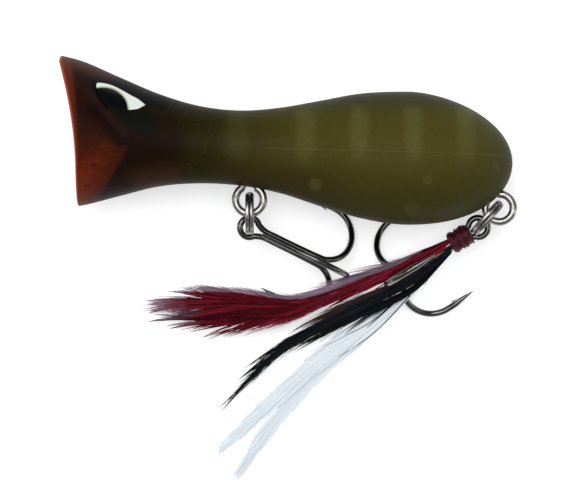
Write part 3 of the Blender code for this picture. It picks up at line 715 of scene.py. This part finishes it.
def body_rows():
    """Rows of (u, v, w) from the cup's bottom over the lip to the tail, with the distance from the lip."""
    half_lip = LIP_THICKNESS / 2
    lip_angles = row_angles(1.0)
    rows, marks = cup_rows(skin(half_lip, lip_angles, LIP_THICKNESS))
    for turn in np.linspace(180, 0, 13):
        phi = math.radians(turn)
        setback = half_lip * (1 - math.sin(phi))
        rows.append(skin(setback, lip_angles, half_lip * (1 - math.cos(phi))))
        marks.append(setback - 0.55 * max(turn - 90, 0) / 90)
    stations = np.concatenate([np.linspace(0.75, 14.0, 34), np.linspace(14.5, TAIL_START, 62)])
    turns = np.radians(np.concatenate([np.linspace(2.5, 80, 32), np.linspace(82, 90, 6)]))
    stations = np.concatenate([stations, TAIL_START + (TAIL_END - TAIL_START) * np.sin(turns)])
    for station in stations:
        blend = np.clip((station - 0.5) / 5.0, 0, 1)
        angles = lip_angles * (1 - blend) + row_angles(min(station, 64.7)) * blend
        rows.append(skin(station, angles, -ridge_heights(station, len(angles))))
        marks.append(station)
    return rows, marks


def add_shell(name, side, material, node):
    rows, marks = body_rows()
    count = len(rows[0])
    points, uvs = [], []
    for row, mark in zip(rows, marks):
        row = row.copy()
        row[:, 2] = np.maximum(row[:, 2], SEAM_GAP)
        middle = (row[0, 1] + row[-1, 1]) / 2
        tall = abs(row[0, 1] - row[-1, 1])
        groove = min(SEAM_GROOVE, tall * 0.2)
        row[0, 1] -= groove * math.copysign(1, row[0, 1] - middle)
        row[-1, 1] -= groove * math.copysign(1, row[-1, 1] - middle)
        row[:, 2] *= side
        points.append(row + BODY_ORIGIN)
        uvs.append(np.column_stack([np.full(count, mark), np.linspace(0, 1, count)]))
    faces = [face[::side] for face in quads(len(rows), count, wrapped=False)]
    shape = Shape()
    shape.add(np.vstack(points), faces, np.vstack(uvs))
    shell = shape.make(name, material, "lure_body", (node,), uv_name="skin", weld=1e-7)
    wall = shell.modifiers.new("wall", "SOLIDIFY")
    wall.thickness = SHELL_THICKNESS * MM
    wall.offset = -1.0
    wall.use_rim = True
    return shell


def flank_height(u, v):
    ease = np.clip(1.0 - u / LIP_BLEND, 0.0, 1.0) ** 2
    station = u - ease * lip_line(v)
    top, bottom = outline(1, station), outline(2, station)
    reach = (v - (top + bottom) / 2) / ((top - bottom) / 2)
    return outline(3, station) * np.sqrt(np.clip(1.0 - reach * reach, 0.0, 1.0))


def add_eye(name, side, material):
    """A low dome of enamel that follows the flank, with a rolled edge."""
    corners = np.array(EYE_OUTLINE)
    loop = []
    for k in range(len(corners)):
        a, b, c, d = (corners[(k + step) % len(corners)] for step in (-1, 0, 1, 2))
        for share in np.linspace(0, 1, 8, endpoint=False):
            straight = k in EYE_STRAIGHTS
            loop.append(b + (c - b) * share if straight else catmull_rom(a, b, c, d, share))
    loop = np.array(loop)
    centre = np.array(EYE_CENTRE)
    points, uvs = [], []
    for share, level in EYE_PROFILE:
        place = centre + (loop - centre) * share
        w = flank_height(place[:, 0], place[:, 1]) + level
        points.append(np.column_stack([place, side * w]) + BODY_ORIGIN)
        uvs.append(np.column_stack([np.full(len(loop), share), np.linspace(0, 1, len(loop))]))
    faces = [face[::-side] for face in quads(len(EYE_PROFILE), len(loop))]
    shape = Shape()
    shape.add(np.vstack(points), faces, np.vstack(uvs))
    return shape.make(name, material, "lure_body", (name.replace("_inlay", ""),), weld=1e-7)


# ---- wire and rings

def arc(centre, radius, start, stop, count):
    angles = np.radians(np.linspace(start, stop, count))
    return [(centre[0] + radius * math.cos(a), centre[1] + radius * math.sin(a)) for a in angles]


def hanger_path(outer, inner):
    start, stop = Vector(outer), Vector(inner)
    along = (stop - start).normalized()
    across = Vector((-along.y, along.x))
    length = (stop - start).length
    open_outer = math.degrees(math.asin(HANGER_WAIST / HANGER_EYE)) + HANGER_EASE
    open_inner = math.degrees(math.asin(HANGER_WAIST / HANGER_INNER_EYE)) + HANGER_EASE
    waist = (HANGER_EYE + HANGER_SHOULDER, length / 2, length - HANGER_INNER_EYE - HANGER_SHOULDER)
    local = arc((0.0, 0.0), HANGER_EYE, open_outer, 360 - open_outer, 25)
    local += [(place, -HANGER_WAIST) for place in waist]
    local += arc((length, 0.0), HANGER_INNER_EYE, 180 + open_inner, 540 - open_inner, 21)
    local += [(place, HANGER_WAIST) for place in reversed(waist)]
    route = []
    for a, b in local:
        place = start + along * a + across * b
        route.append((place.x, place.y, 0.0))
    route.append(route[0])
    return smooth_path(np.array(route), 140)[:-1] + BODY_ORIGIN


def add_hangers(material):
    for name, (outer, inner) in HANGERS.items():
        shape = Shape()
        sweep(shape, hanger_path(outer, inner), HANGER_WIRE / 2, sides=18, closed=True)
        shape.make(name + "_drawn", material, "lure_body", (name,))


def turned(points, *angles):
    """Points turned by Euler angles about X, Y, Z."""
    matrix = np.array(Euler(angles).to_matrix())
    return np.asarray(points, float) @ matrix.T


def hook_profile(offset):
    top = BEND_CENTRE[1] + BEND_RADIUS
    tip_a, tip_r = POINT_TIP
    point = [(tip_a, tip_r), (tip_a + 0.9, tip_r + 0.06), (tip_a + 2.0, tip_r + 0.14), (9.4, top - 0.02)]
    bend = arc(BEND_CENTRE, BEND_RADIUS, 90, -78, 16)
    shank = [(9.0, offset + 0.03), (6.5, offset), (4.0, offset)]
    return point + bend + shank


def shank_lift():
    return SHANK_OFFSET * math.cos(math.radians(60))


def radial(profile, roll, spread=0.0):
    """A hook's profile turned about the shank; spread opens its gape."""
    turn = math.radians(roll)
    tip = profile[0][1]
    profile = [(a, r + spread * max(r / tip, 0.0) ** 2) for a, r in profile]
    return [(a, r * math.sin(turn), r * math.cos(turn) + shank_lift()) for a, r in profile]


def double_route():
    side = SHANK_OFFSET * math.sin(math.radians(120))
    left = radial(hook_profile(SHANK_OFFSET), 120, OPENED_GAPE)
    right = radial(hook_profile(SHANK_OFFSET), -120)
    neck = [(2.35, side + 0.02)] + arc((0.0, 0.0), HOOK_EYE, 38, 322, 17) + [(2.35, -side - 0.02)]
    return left + [(a, b, 0.0) for a, b in neck] + right[::-1]


def single_route():
    return radial(hook_profile(BRAZED_OFFSET) + [(1.9, BRAZED_OFFSET)], 0)


def eye_height():
    return HOOK_WIRE / 2 - min(turned(double_route(), 0.0, HOOK_TILT, 0.0)[:, 2].min(), 0.0)


def ring_height(to_eye):
    return eye_height() + math.sqrt(RING_RADIUS ** 2 - to_eye[0] ** 2 - to_eye[1] ** 2)


def point_taper(path, both):
    """Wire radius along a hook that is pointed at its start, or at both ends."""
    run = running_length(path)
    radius = np.interp(run, POINT_DISTANCES, POINT_RADII)
    if both:
        radius = np.minimum(radius, np.interp(run[-1] - run, POINT_DISTANCES, POINT_RADII))
    return radius * WIRE_FULLNESS


def add_barb(shape, roll, spread, to_world):
    """The sliver cut up from the wire inside the point, leaning back to the bend."""
    turn = math.radians(roll)
    out = np.array((0.0, math.sin(turn), math.cos(turn)))
    across = np.array((0.0, math.cos(turn), -math.sin(turn)))
    base = np.array((0.0, 0.0, shank_lift()))
    rings = []
    for a, r, wide, deep in BARB_ROWS:
        middle = base + np.array((a, 0.0, 0.0)) + out * (r + spread)
        rings += [middle + across * (x * wide) + out * (y * deep) for x, y in BARB_SECTION]
    sides = len(BARB_SECTION)
    faces = quads(len(BARB_ROWS), sides)
    faces.append(tuple(reversed(range(sides))))
    faces.append(tuple(range(len(rings) - sides, len(rings))))
    shape.add(to_world(rings), faces, [(k * 0.1, 0.3) for k in range(len(rings))])


def add_ring(side, centre, heading, steel):
    """A split ring: two turns side by side, with the step between them."""
    turn = np.radians(np.linspace(*RING_TURN, 190))
    ease = np.clip((np.degrees(turn) - RING_STEP[0]) / (RING_STEP[1] - RING_STEP[0]), 0, 1)
    aside = RING_TURN_OFFSET * (2 * ease * ease * (3 - 2 * ease) - 1)
    coil = np.column_stack([aside, RING_RADIUS * np.cos(turn), RING_RADIUS * np.sin(turn)])
    axis = turned([(1.0, 0.0, 0.0)], 0.0, 0.0, heading)[0]
    shape = Shape()
    sweep(shape, turned(coil, 0.0, 0.0, heading) + centre, RING_STRAND / 2 * RING_FULLNESS, sides=16,
          first=axis, square=RING_SQUARENESS)
    node = side + "_split_ring"
    shape.make(node + "_coil", steel, side + "_ring", (node,), sharp=60)


def add_brazing(side, to_world, solder):
    """Brazing that fills the groove between the three shanks."""
    path = np.array([(a, 0.0, shank_lift() + 0.02) for a in np.linspace(2.0, 9.3, 40)])
    t = np.linspace(0, 1, 40)
    radius = BRAZING_RADIUS * np.clip(t / 0.10, 0, 1) ** 0.5 * np.clip((1 - t) / 0.22, 0, 1) ** 0.5 + 0.05
    radius *= 1 + 0.03 * np.sin(np.linspace(0, 21, 40))
    shape = Shape()
    sweep(shape, to_world(path), radius, sides=16, flat=0.95)
    shape.make(side + "_treble_brazing", solder, side + "_treble", (), sharp=60)


def add_tackle(side, lie, steel, nickel, solder):
    """One split ring and its treble; returns the change from the hook's frame to the world."""
    to_ring, to_eye, heading = lie
    loop = BODY_ORIGIN + np.array((*HANGERS[side + "_hanger_wire"][0], 0.0))
    centre = np.array((loop[0] + to_ring[0], loop[1] + to_ring[1], ring_height(to_eye)))
    eye = np.array((centre[0] + to_eye[0], centre[1] + to_eye[1], eye_height()))
    add_ring(side, centre, math.atan2(-to_eye[1], -to_eye[0]) - math.pi / 2, steel)

    def to_world(points):
        return turned(points, 0.0, HOOK_TILT, heading) + eye + (0.0, 0.0, HOOK_LIFT)

    for kind, route, count, barbs in (("double", double_route(), 230, ((120, OPENED_GAPE), (-120, 0.0))),
                                      ("single", single_route(), 120, ((0, 0.0),))):
        path = smooth_path(np.array(route), count)
        shape = Shape()
        sweep(shape, to_world(path), point_taper(path, kind == "double"), sides=16)
        for roll, spread in barbs:
            add_barb(shape, roll, spread, to_world)
        name = f"{side}_treble_{kind}"
        shape.make(name + "_forged", nickel, side + "_treble", (name,), sharp=60)
    add_brazing(side, to_world, solder)
    return to_world


def add_wrap(to_world, material):
    """Turns of tying thread over the shank: a tight barrel, a smaller collar and a whip finish."""

    def around(a, r, angle):
        return to_world(np.column_stack([a, r * np.sin(angle), r * np.cos(angle) + shank_lift()]))

    shape = Shape()
    path = np.array([(a, 0.0, shank_lift()) for a, _ in WRAP_CORE])
    sweep(shape, to_world(path), [r for _, r in WRAP_CORE], sides=24)
    for first, last, base, pitch, phase in WRAP_WINDINGS:
        turns = abs(last - first) / pitch
        t = np.linspace(0, 1, int(turns * 22))
        angle = 2 * math.pi * turns * t + phase
        a = first + (last - first) * t + 0.03 * np.sin(3.1 * angle + phase)
        r = base + 0.035 * np.sin(5.3 * angle) - 0.16 * np.abs(2 * t - 1) ** 4
        sweep(shape, around(a, r, angle), THREAD_RADIUS, sides=7, start=phase)
    for start, stop, radius in WHIP_TURNS:
        t = np.linspace(0, 1, 40)
        sweep(shape, around(start + (stop - start) * t, radius, 2 * math.pi * 1.2 * t + start),
              THREAD_RADIUS, sides=7)
    shape.make("thread_wrap_turns", material, "tail_treble", ("thread_wrap",), sharp=60)


# ---- feathers

FIBRE_STEPS = 12
HAIR_SHARE = 0.05
LOWEST_FIBRE = 0.06


def extended(spine, at):
    """Places on a spine by length share; beyond its ends it runs on straight."""
    count = len(spine) - 1
    k = np.clip(at * count, 0, count - 1e-6)
    low = k.astype(int)
    share = (k - low)[..., None]
    place = spine[low] * (1 - share) + spine[low + 1] * share
    over = np.maximum(at - 1, 0)[..., None] * count * (spine[-1] - spine[-2])
    return place + over


def add_fibres(shape, points, wide, ash, tone):
    """Thin three-sided fibres, each along a row of points, with their paleness and tone as uvs."""
    count, steps = points.shape[:2]
    along = np.gradient(points, axis=1)
    along /= np.linalg.norm(along, axis=2)[..., None] + 1e-9
    flat = np.cross(along, np.array((0.0, 0.0, 1.0)))
    flat /= np.linalg.norm(flat, axis=2)[..., None] + 1e-9
    up = np.cross(flat, along)
    half = wide[..., None] / 2
    rings = np.stack([points + flat * half, points - flat * half, points + up * half * 0.8], axis=2)
    uvs = np.stack(np.broadcast_arrays(ash[..., None], tone[:, None, None], np.zeros(3))[:2], axis=-1)
    start = (np.arange(count) * steps * 3)[:, None]
    base = start[:, :, None] + (np.arange(steps - 1) * 3)[None, :, None]
    faces = [np.concatenate([base + a, base + b, base + b + 3, base + a + 3], axis=2).reshape(-1, 4)
             for a, b in ((0, 1), (1, 2), (2, 0))]
    faces = np.vstack(faces).tolist() + (start + np.array((2, 1, 0))).tolist()
    faces += (start + (steps - 1) * 3 + np.array((0, 1, 2))).tolist()
    shape.add(rings.reshape(-1, 3), faces, uvs.reshape(-1, 2))


def vane(shape, draw, spine, across, sign, rows, look):
    """One side of a plume: long fibres that run with the spine and gather to pointed tips.

    rows hold (share of the length, reach in mm, and width in mm of the clear edge, if it has one)."""
    s = np.linspace(0, 1, FIBRE_STEPS)
    total = np.linalg.norm(np.diff(spine, axis=0), axis=1).sum()
    places, reaches, fringes = np.array([(*row, 0.0)[:3] for row in rows], float).T
    tufts, count = look["tufts"], look["count"]
    # Tufts: how far along and how far out each one ends.
    rank = (np.arange(tufts) + draw.uniform(0.6, 1.0, tufts)) / tufts
    tuft_at = look["first"] + (1 - look["first"]) * rank ** look["crowd"]
    inner = draw.random(tufts) < look["inner"]
    inner |= tuft_at > 0.88
    ragged = look["ragged"][0 if sign < 0 else 1]
    share_out = np.where(inner, draw.uniform(0.0, 1.0, tufts), 1 - ragged * draw.random(tufts) ** 1.6)
    tuft_out = share_out * np.interp(tuft_at, places, reaches)
    tuft_at = tuft_at - look["round"] * np.clip((tuft_at - 0.8) / 0.2, 0, 1) * share_out ** 2
    # Fibres: each ends a little short of its tuft and strays from it; a few are loose hairs.
    chosen = np.sort(draw.integers(0, tufts, count))
    back = look["taper"] * draw.random(count) ** 1.3
    tip = tuft_at[chosen] - back / total
    spread = draw.normal(0, 1, count) * (0.04 + 0.11 * back)
    out = tuft_out[chosen] - look["fall"] * back + spread * look["loose"]
    length = draw.uniform(*look["run"], count)
    hair = draw.random(count) < HAIR_SHARE
    out = np.where(hair, out + draw.uniform(0.0, 0.7, count), out)
    tip = np.where(hair, tip + draw.uniform(0.0, 1.5, count) / total, tip)
    at = tip - length / total
    at = np.clip(at, 0.0, 1.0) + np.where(at < 0, draw.uniform(0, 0.03, count), 0)
    # Their lines: from near the spine, out to the tips, drooping at the edges and clear of the bench.
    root = np.minimum(look["core"], 0.55 * np.interp(at, places, reaches)) * draw.uniform(-0.5, 1.0, count)
    root = np.where(np.abs(root) > np.abs(out), out * 0.9, root)
    share = np.clip(at[:, None] + (tip - at)[:, None] * s[None, :], 0, 1.02)
    lateral = root[:, None] + (out - root)[:, None] * s[None, :] ** look["bow"]
    wave = draw.normal(0, 0.05, count)[:, None] * np.sin(math.pi * s)[None, :]
    side = extended(across, np.minimum(share, 1.0))
    points = extended(spine, share) + sign * side * (lateral + wave)[..., None]
    level = draw.uniform(-0.14, 0.14, tufts)[chosen] + draw.uniform(-0.12, 0.12, count)
    points[..., 2] += level[:, None] - look["droop"] * (lateral / 3.0) ** 2
    points[..., 2] = np.maximum(points[..., 2], LOWEST_FIBRE)
    wide = np.minimum(0.4 + 4.0 * s, 1.0) * (1 - look["point"] * s ** 2.2)
    wide = look["width"] * wide[None, :] * draw.uniform(0.7, 1.3, count)[:, None]
    wide = np.where(hair[:, None], wide * 0.55, wide)
    # Fibres pale in the clear edge and towards the plume's end.
    edge = np.abs(lateral) - np.interp(share, places, reaches) + np.interp(share, places, fringes)
    edge = np.clip(edge / np.maximum(np.interp(share, places, fringes), 0.05), 0, 1)
    end = np.clip((share - look["pale_from"]) / (1.0 - look["pale_from"]), 0, 1) * s[None, :]
    film = (edge > 0) & (np.interp(share, places, fringes) > 0.02)
    ash = np.maximum(np.where(film, 0.45 + 1.5 * edge, 0.0), end)
    tone = 0.45 * draw.random(tufts)[chosen] + 0.55 * draw.random(count)
    add_fibres(shape, points, wide, ash, tone)


# How a plume grows unless its own look says otherwise: its fibres and the tufts that they gather to, where
# the first tuft ends and how tufts crowd to the end, the share of tufts inside the outline, how ragged its
# two edges are, how round its tip is, how far fibres stop short and stray, their run, the half width of
# their roots, how late they bow out, how the edges droop, and a fibre's width, fall inwards and point.
PLUME = {
    "count": 420, "tufts": 22, "first": 0.12, "crowd": 0.6, "inner": 0.35, "ragged": (0.4, 0.4),
    "round": 0.06, "taper": 3.5, "loose": 1.0, "run": (9.0, 20.0), "core": 0.6, "bow": 1.7, "droop": 0.25,
    "width": 0.15, "fall": 0.1, "point": 0.88, "pale_from": 0.86,
}


def plume_spine(rows):
    """A plume's centre line and its sideways directions."""
    spine = smooth_path(rows, 160)[:, :3]
    run = np.gradient(spine, axis=0)
    run[:, 2] = 0
    run /= np.linalg.norm(run, axis=1)[:, None]
    return spine, np.column_stack([-run[:, 1], run[:, 0], np.zeros(len(run))])


def hackle(node, material, slot, seed, rows, upper, lower, hairs=(), **look):
    """One feather or bundle: two vanes of fibres about a thin rachis, and a few stray hairs."""
    look = {**PLUME, **look}
    draw = np.random.default_rng(seed)
    spine, across = plume_spine(rows)
    shape = Shape()
    for sign, vane_rows in ((-1.0, upper), (1.0, lower)):
        vane(shape, draw, spine, across, sign, vane_rows, look)
    t = np.linspace(0, 0.9, 80)
    paths = [(extended(spine, t), 0.12 * (1 - 0.85 * t) + 0.02)]
    paths += [(smooth_path(hair, 40), np.linspace(0.085, 0.02, 40)) for hair in hairs]
    for path, radius in paths:
        first = shape.count
        sweep(shape, path, radius, sides=6)
        shape.uvs[-1] = np.tile((0.0, 0.35), (shape.count - first, 1))
    return shape.make(node + "_barbs", material, "tail_treble", (node,), sharp=70)


# ---- build

plastic = body_plastic()
add_shell("shell_left_moulding", 1, plastic, "body_shell_left")
add_shell("shell_right_moulding", -1, plastic, "body_shell_right")
enamel = eye_enamel()
add_eye("eye_left_inlay", 1, enamel)
add_eye("eye_right_inlay", -1, enamel)
steel = metal("wire_steel", (170, 169, 164), (126, 124, 119), (92, 90, 85), 0.36)
nickel = metal("hook_nickel", (76, 75, 71), (46, 45, 42), (104, 101, 95), 0.14, 0.25, coat=0.8)
solder = metal("hook_brazing", (80, 77, 70), (42, 40, 36), (124, 120, 111), 0.30, 0.3, coat=0.5)
add_hangers(steel)
add_tackle("belly", BELLY_LIE, steel, nickel, solder)
tail_to_world = add_tackle("tail", TAIL_LIE, steel, nickel, solder)
add_wrap(tail_to_world, thread())

red = plume("hackle_red", (78, 15, 25), (124, 32, 48), (164, 138, 156), 1.2, clear=0.8)
brown = plume("hackle_brown", (62, 44, 44), (84, 66, 68), (120, 104, 110), 0.6, clear=0.5)
black = plume("hackle_black", (22, 25, 29), (32, 36, 40), (90, 84, 90), 1.2, clear=0.4, rough=0.45)
pearl = plume("hackle_pearl", (222, 229, 235), (236, 243, 248), (244, 248, 252), 0.12, clear=0.35,
              rough=0.5, glow=0.16)

RED_LOOK = {"count": 430, "width": 0.18, "pale_from": 0.72}
hackle("red_hackle_upper", red, "hackle_red", 3,
       ((23.6, 4.3, 6.9), (20.6, 2.8, 6.6), (18.2, 1.6, 6.2), (15.6, 0.2, 5.8), (10.0, -1.9, 5.4),
        (5.0, -3.9, 5.0), (0.0, -5.3, 4.7), (-6.0, -5.1, 4.4), (-12.0, -5.0, 4.0), (-17.0, -5.3, 3.5),
        (-22.3, -6.0, 3.2)),
       ((0, 0.4), (0.07, 0.5), (0.13, 0.65, 0.4), (0.2, 1.2, 1.1), (0.32, 1.9, 1.7), (0.44, 1.8, 1.6),
        (0.5, 1.5, 1.0), (0.56, 1.4, 0.5), (0.69, 2.4, 0.9), (0.82, 2.7, 1.0), (0.93, 2.5, 1.0),
        (1, 1.6, 0.8)),
       ((0, 0.5), (0.13, 0.9), (0.3, 1.2), (0.5, 1.5), (0.65, 2.0), (0.85, 2.0), (1, 1.0)),
       **RED_LOOK, ragged=(0.06, 0.3), tufts=44, crowd=0.5, taper=2.2, loose=0.7, point=0.8)
hackle("red_hackle_lower", red, "hackle_red", 5,
       ((23.4, 3.8, 7.0), (20.6, 1.9, 6.8), (18.2, 0.6, 6.4), (15.6, -0.6, 5.9), (10.0, -2.7, 4.7),
        (5.0, -4.5, 4.3), (0.0, -6.2, 4.0), (-6.0, -7.0, 3.7), (-12.0, -7.2, 3.2), (-16.8, -7.1, 2.8),
        (-21.8, -7.3, 2.6)),
       ((0, 0.5), (0.13, 0.9), (0.3, 1.3), (0.5, 1.5), (0.7, 2.0), (0.9, 1.8), (1, 0.9)),
       ((0, 0.5), (0.07, 0.8), (0.13, 1.2), (0.2, 1.6), (0.33, 1.9), (0.45, 1.6), (0.55, 2.1),
        (0.61, 2.6, 0.2), (0.69, 3.0, 0.3), (0.8, 3.2, 0.4), (0.89, 2.6, 0.5), (0.955, 2.1, 0.6),
        (1, 0.8, 0.4)),
       **RED_LOOK, ragged=(0.3, 0.45), tufts=26, inner=0.2, taper=6.0, loose=0.22, bow=2.5, fall=0.24)
hackle("brown_hackle", brown, "hackle_brown", 7,
       ((22.9, 2.4, 5.7), (20.6, 0.6, 5.2), (17.4, -1.3, 4.8), (9.6, -4.9, 3.8), (4.0, -7.5, 3.2),
        (-0.3, -10.2, 2.9)),
       ((0, 0.3), (0.3, 0.4), (0.7, 0.8), (1, 0.9)),
       ((0, 0.3), (0.3, 0.4), (0.7, 0.8), (1, 1.2)),
       count=110, tufts=9, first=0.5, width=0.10, core=0.3)

BLACK_LOOK = {"taper": 6.0, "loose": 0.2}
hackle("black_hackle_long", black, "hackle_black", 9,
       ((23.9, 3.4, 7.1), (21.6, 1.3, 6.9), (19.0, -0.9, 6.5), (16.6, -2.5, 6.0), (10.3, -5.6, 4.4),
        (5.0, -8.3, 3.9), (0.0, -11.1, 3.5), (-4.2, -14.6, 3.0), (-10.8, -21.7, 2.6)),
       ((0, 0.6), (0.1, 1.4), (0.25, 1.2), (0.5, 1.0, 0.1), (0.7, 1.2, 0.1), (0.85, 1.9), (1, 0.9)),
       ((0, 0.6), (0.1, 1.0), (0.25, 0.9), (0.5, 1.0, 0.2), (0.7, 1.1, 0.1), (0.85, 0.8), (1, 0.4)),
       **BLACK_LOOK, count=240, tufts=14, first=0.3, ragged=(0.4, 0.6), inner=0.3, core=0.62, bow=3.0,
       fall=0.2, crowd=0.75, pale_from=0.99)
hackle("black_hackle_short", black, "hackle_black", 13,
       ((23.7, 2.8, 5.2), (21.4, 0.4, 4.8), (19.2, -1.9, 4.4), (16.6, -3.7, 4.1), (9.6, -7.0, 3.1),
        (4.2, -9.7, 2.5), (-1.8, -12.6, 2.1)),
       ((0, 0.4), (0.15, 0.7), (0.5, 0.7), (0.8, 1.3, 0.3), (1, 1.5, 0.4)),
       ((0, 0.5), (0.15, 1.0), (0.3, 0.9), (0.5, 1.5, 0.4), (0.7, 2.0, 0.8), (0.85, 1.5, 0.6), (1, 0.8, 0.3)),
       hairs=(((17.6, -3.9, 3.9), (12.9, -8.9, 3.0), (8.6, -12.0, 2.5), (5.4, -13.9, 2.2)),
              ((17.0, -3.6, 3.9), (12.0, -7.7, 3.2), (8.0, -9.9, 2.8), (5.2, -11.3, 2.6)),
              ((16.2, -4.2, 3.8), (11.0, -8.9, 2.9), (7.2, -11.7, 2.5), (4.2, -13.3, 2.3))),
       **BLACK_LOOK, count=120, tufts=12, first=0.35, ragged=(0.6, 0.5), inner=0.2, fall=0.22, width=0.12,
       bow=2.6, core=0.5, crowd=0.9, pale_from=0.97)

PEARL_LOOK = {
    "count": 460, "tufts": 46, "first": 0.3, "ragged": (0.12, 0.12), "inner": 0.5, "taper": 1.6,
    "round": 0.01, "width": 0.2, "bow": 1.3, "crowd": 0.4, "point": 0.5, "pale_from": 0.97,
}
hackle("pearl_flash_upper", pearl, "flash_pearl", 15,
       ((22.7, 2.2, 4.2), (21.0, -0.2, 3.75), (17.4, -3.5, 3.4), (12.9, -7.3, 2.9), (8.9, -10.1, 2.6),
        (5.2, -12.8, 2.3), (1.2, -16.2, 1.9), (-3.4, -20.4, 1.5), (-8.1, -24.7, 1.3), (-10.6, -27.2, 1.2)),
       ((0, 0.3), (0.2, 0.6), (0.35, 1.5, 0.3), (0.5, 1.7, 0.3), (0.62, 1.3, 0.3), (0.85, 1.05, 0.3),
        (1, 0.6, 0.3)),
       ((0, 0.3), (0.2, 0.7), (0.35, 1.4, 0.3), (0.5, 1.5, 0.3), (0.62, 1.2, 0.3), (0.85, 0.95, 0.3),
        (1, 0.5, 0.3)),
       **PEARL_LOOK)
hackle("pearl_flash_lower", pearl, "flash_pearl", 17,
       ((22.5, 2.6, 3.7), (20.7, 0.2, 3.2), (17.2, -4.0, 2.95), (13.0, -8.2, 2.2), (9.2, -11.4, 1.8),
        (5.9, -14.0, 1.5), (2.4, -17.3, 1.2), (-0.9, -21.0, 1.0), (-4.6, -25.8, 0.8), (-8.0, -31.3, 0.7)),
       ((0, 0.3), (0.25, 0.4, 0.1), (0.5, 0.8, 0.3), (0.7, 0.9, 0.3), (0.88, 0.95, 0.3), (1, 0.6, 0.3)),
       ((0, 0.3), (0.25, 0.4, 0.1), (0.5, 0.7, 0.3), (0.7, 0.85, 0.3), (0.88, 0.85, 0.3), (1, 0.5, 0.3)),
       **PEARL_LOOK)

INNER_LOOKS = {"ballast_weight": cast_lead(), "rattle_ball_low": steel, "rattle_ball_high": steel}
for node, inner_material in INNER_LOOKS.items():
    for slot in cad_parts[node].material_slots:
        slot.material = inner_material


# ---- stage, lights and camera

FLOOR_GAP = 0.05
VIEW_WIDTH = 84.23
VIEW_CENTRE = (0.71, 2.44)
LIGHTS = (
    # name, place (m), size (m), power (W)
    ("overhead", (-0.1, 0.25, 1.3), (1.1, 1.1), 15.0),
    ("left_strip", (-1.0, 0.1, 0.55), (0.25, 1.0), 2.2),
    ("right_strip", (1.0, -0.2, 0.5), (0.25, 0.9), 1.7),
)


def add_floor():
    """A pale card, just under the lure's lowest point."""
    bpy.ops.mesh.primitive_plane_add(size=6.0, location=(0.0, 0.0, -FLOOR_GAP * MM))
    floor = bpy.context.active_object
    floor.name = "bench"
    m = Surface("bench_card", Roughness=0.9, Specular_IOR_Level=0.1, Emission_Color=(1.0, 1.0, 1.0, 1.0),
                Emission_Strength=0.45)
    tone = m.mix(m.noise(m.place(), 0.02, 2.0), (0.80, 0.80, 0.80, 1.0), (0.82, 0.82, 0.82, 1.0))
    floor.data.materials.append(m.finish(tone))


def add_light(name, location, size, energy):
    """A soft box that faces the lure."""
    light = bpy.data.lights.new(name, "AREA")
    light.shape = "RECTANGLE"
    light.size, light.size_y = size
    light.energy = energy
    item = bpy.data.objects.new(name, light)
    item.location = location
    item.rotation_mode = "QUATERNION"
    item.rotation_quaternion = (-Vector(location)).to_track_quat("-Z", "Y")
    bpy.context.scene.collection.objects.link(item)


def add_camera():
    """A long lens straight over the lure, far enough away to see the view's width at the middle plane."""
    data = bpy.data.cameras.new("camera")
    data.lens = 300.0
    data.sensor_width = 36.0
    data.clip_start = 0.02
    data.clip_end = 20.0
    away = VIEW_WIDTH * data.lens / data.sensor_width
    camera = bpy.data.objects.new("camera", data)
    camera.location = Vector((*VIEW_CENTRE, BODY_ORIGIN[2] + away)) * MM
    bpy.context.scene.collection.objects.link(camera)
    bpy.context.scene.camera = camera


add_floor()
for light in LIGHTS:
    add_light(*light)
world = bpy.data.worlds.new("studio")
world.use_nodes = True
world.node_tree.nodes["Background"].inputs["Color"].default_value = (0.92, 0.95, 1.0, 1.0)
world.node_tree.nodes["Background"].inputs["Strength"].default_value = 0.28
bpy.context.scene.world = world
bpy.context.scene.view_settings.view_transform = "Standard"
add_camera()
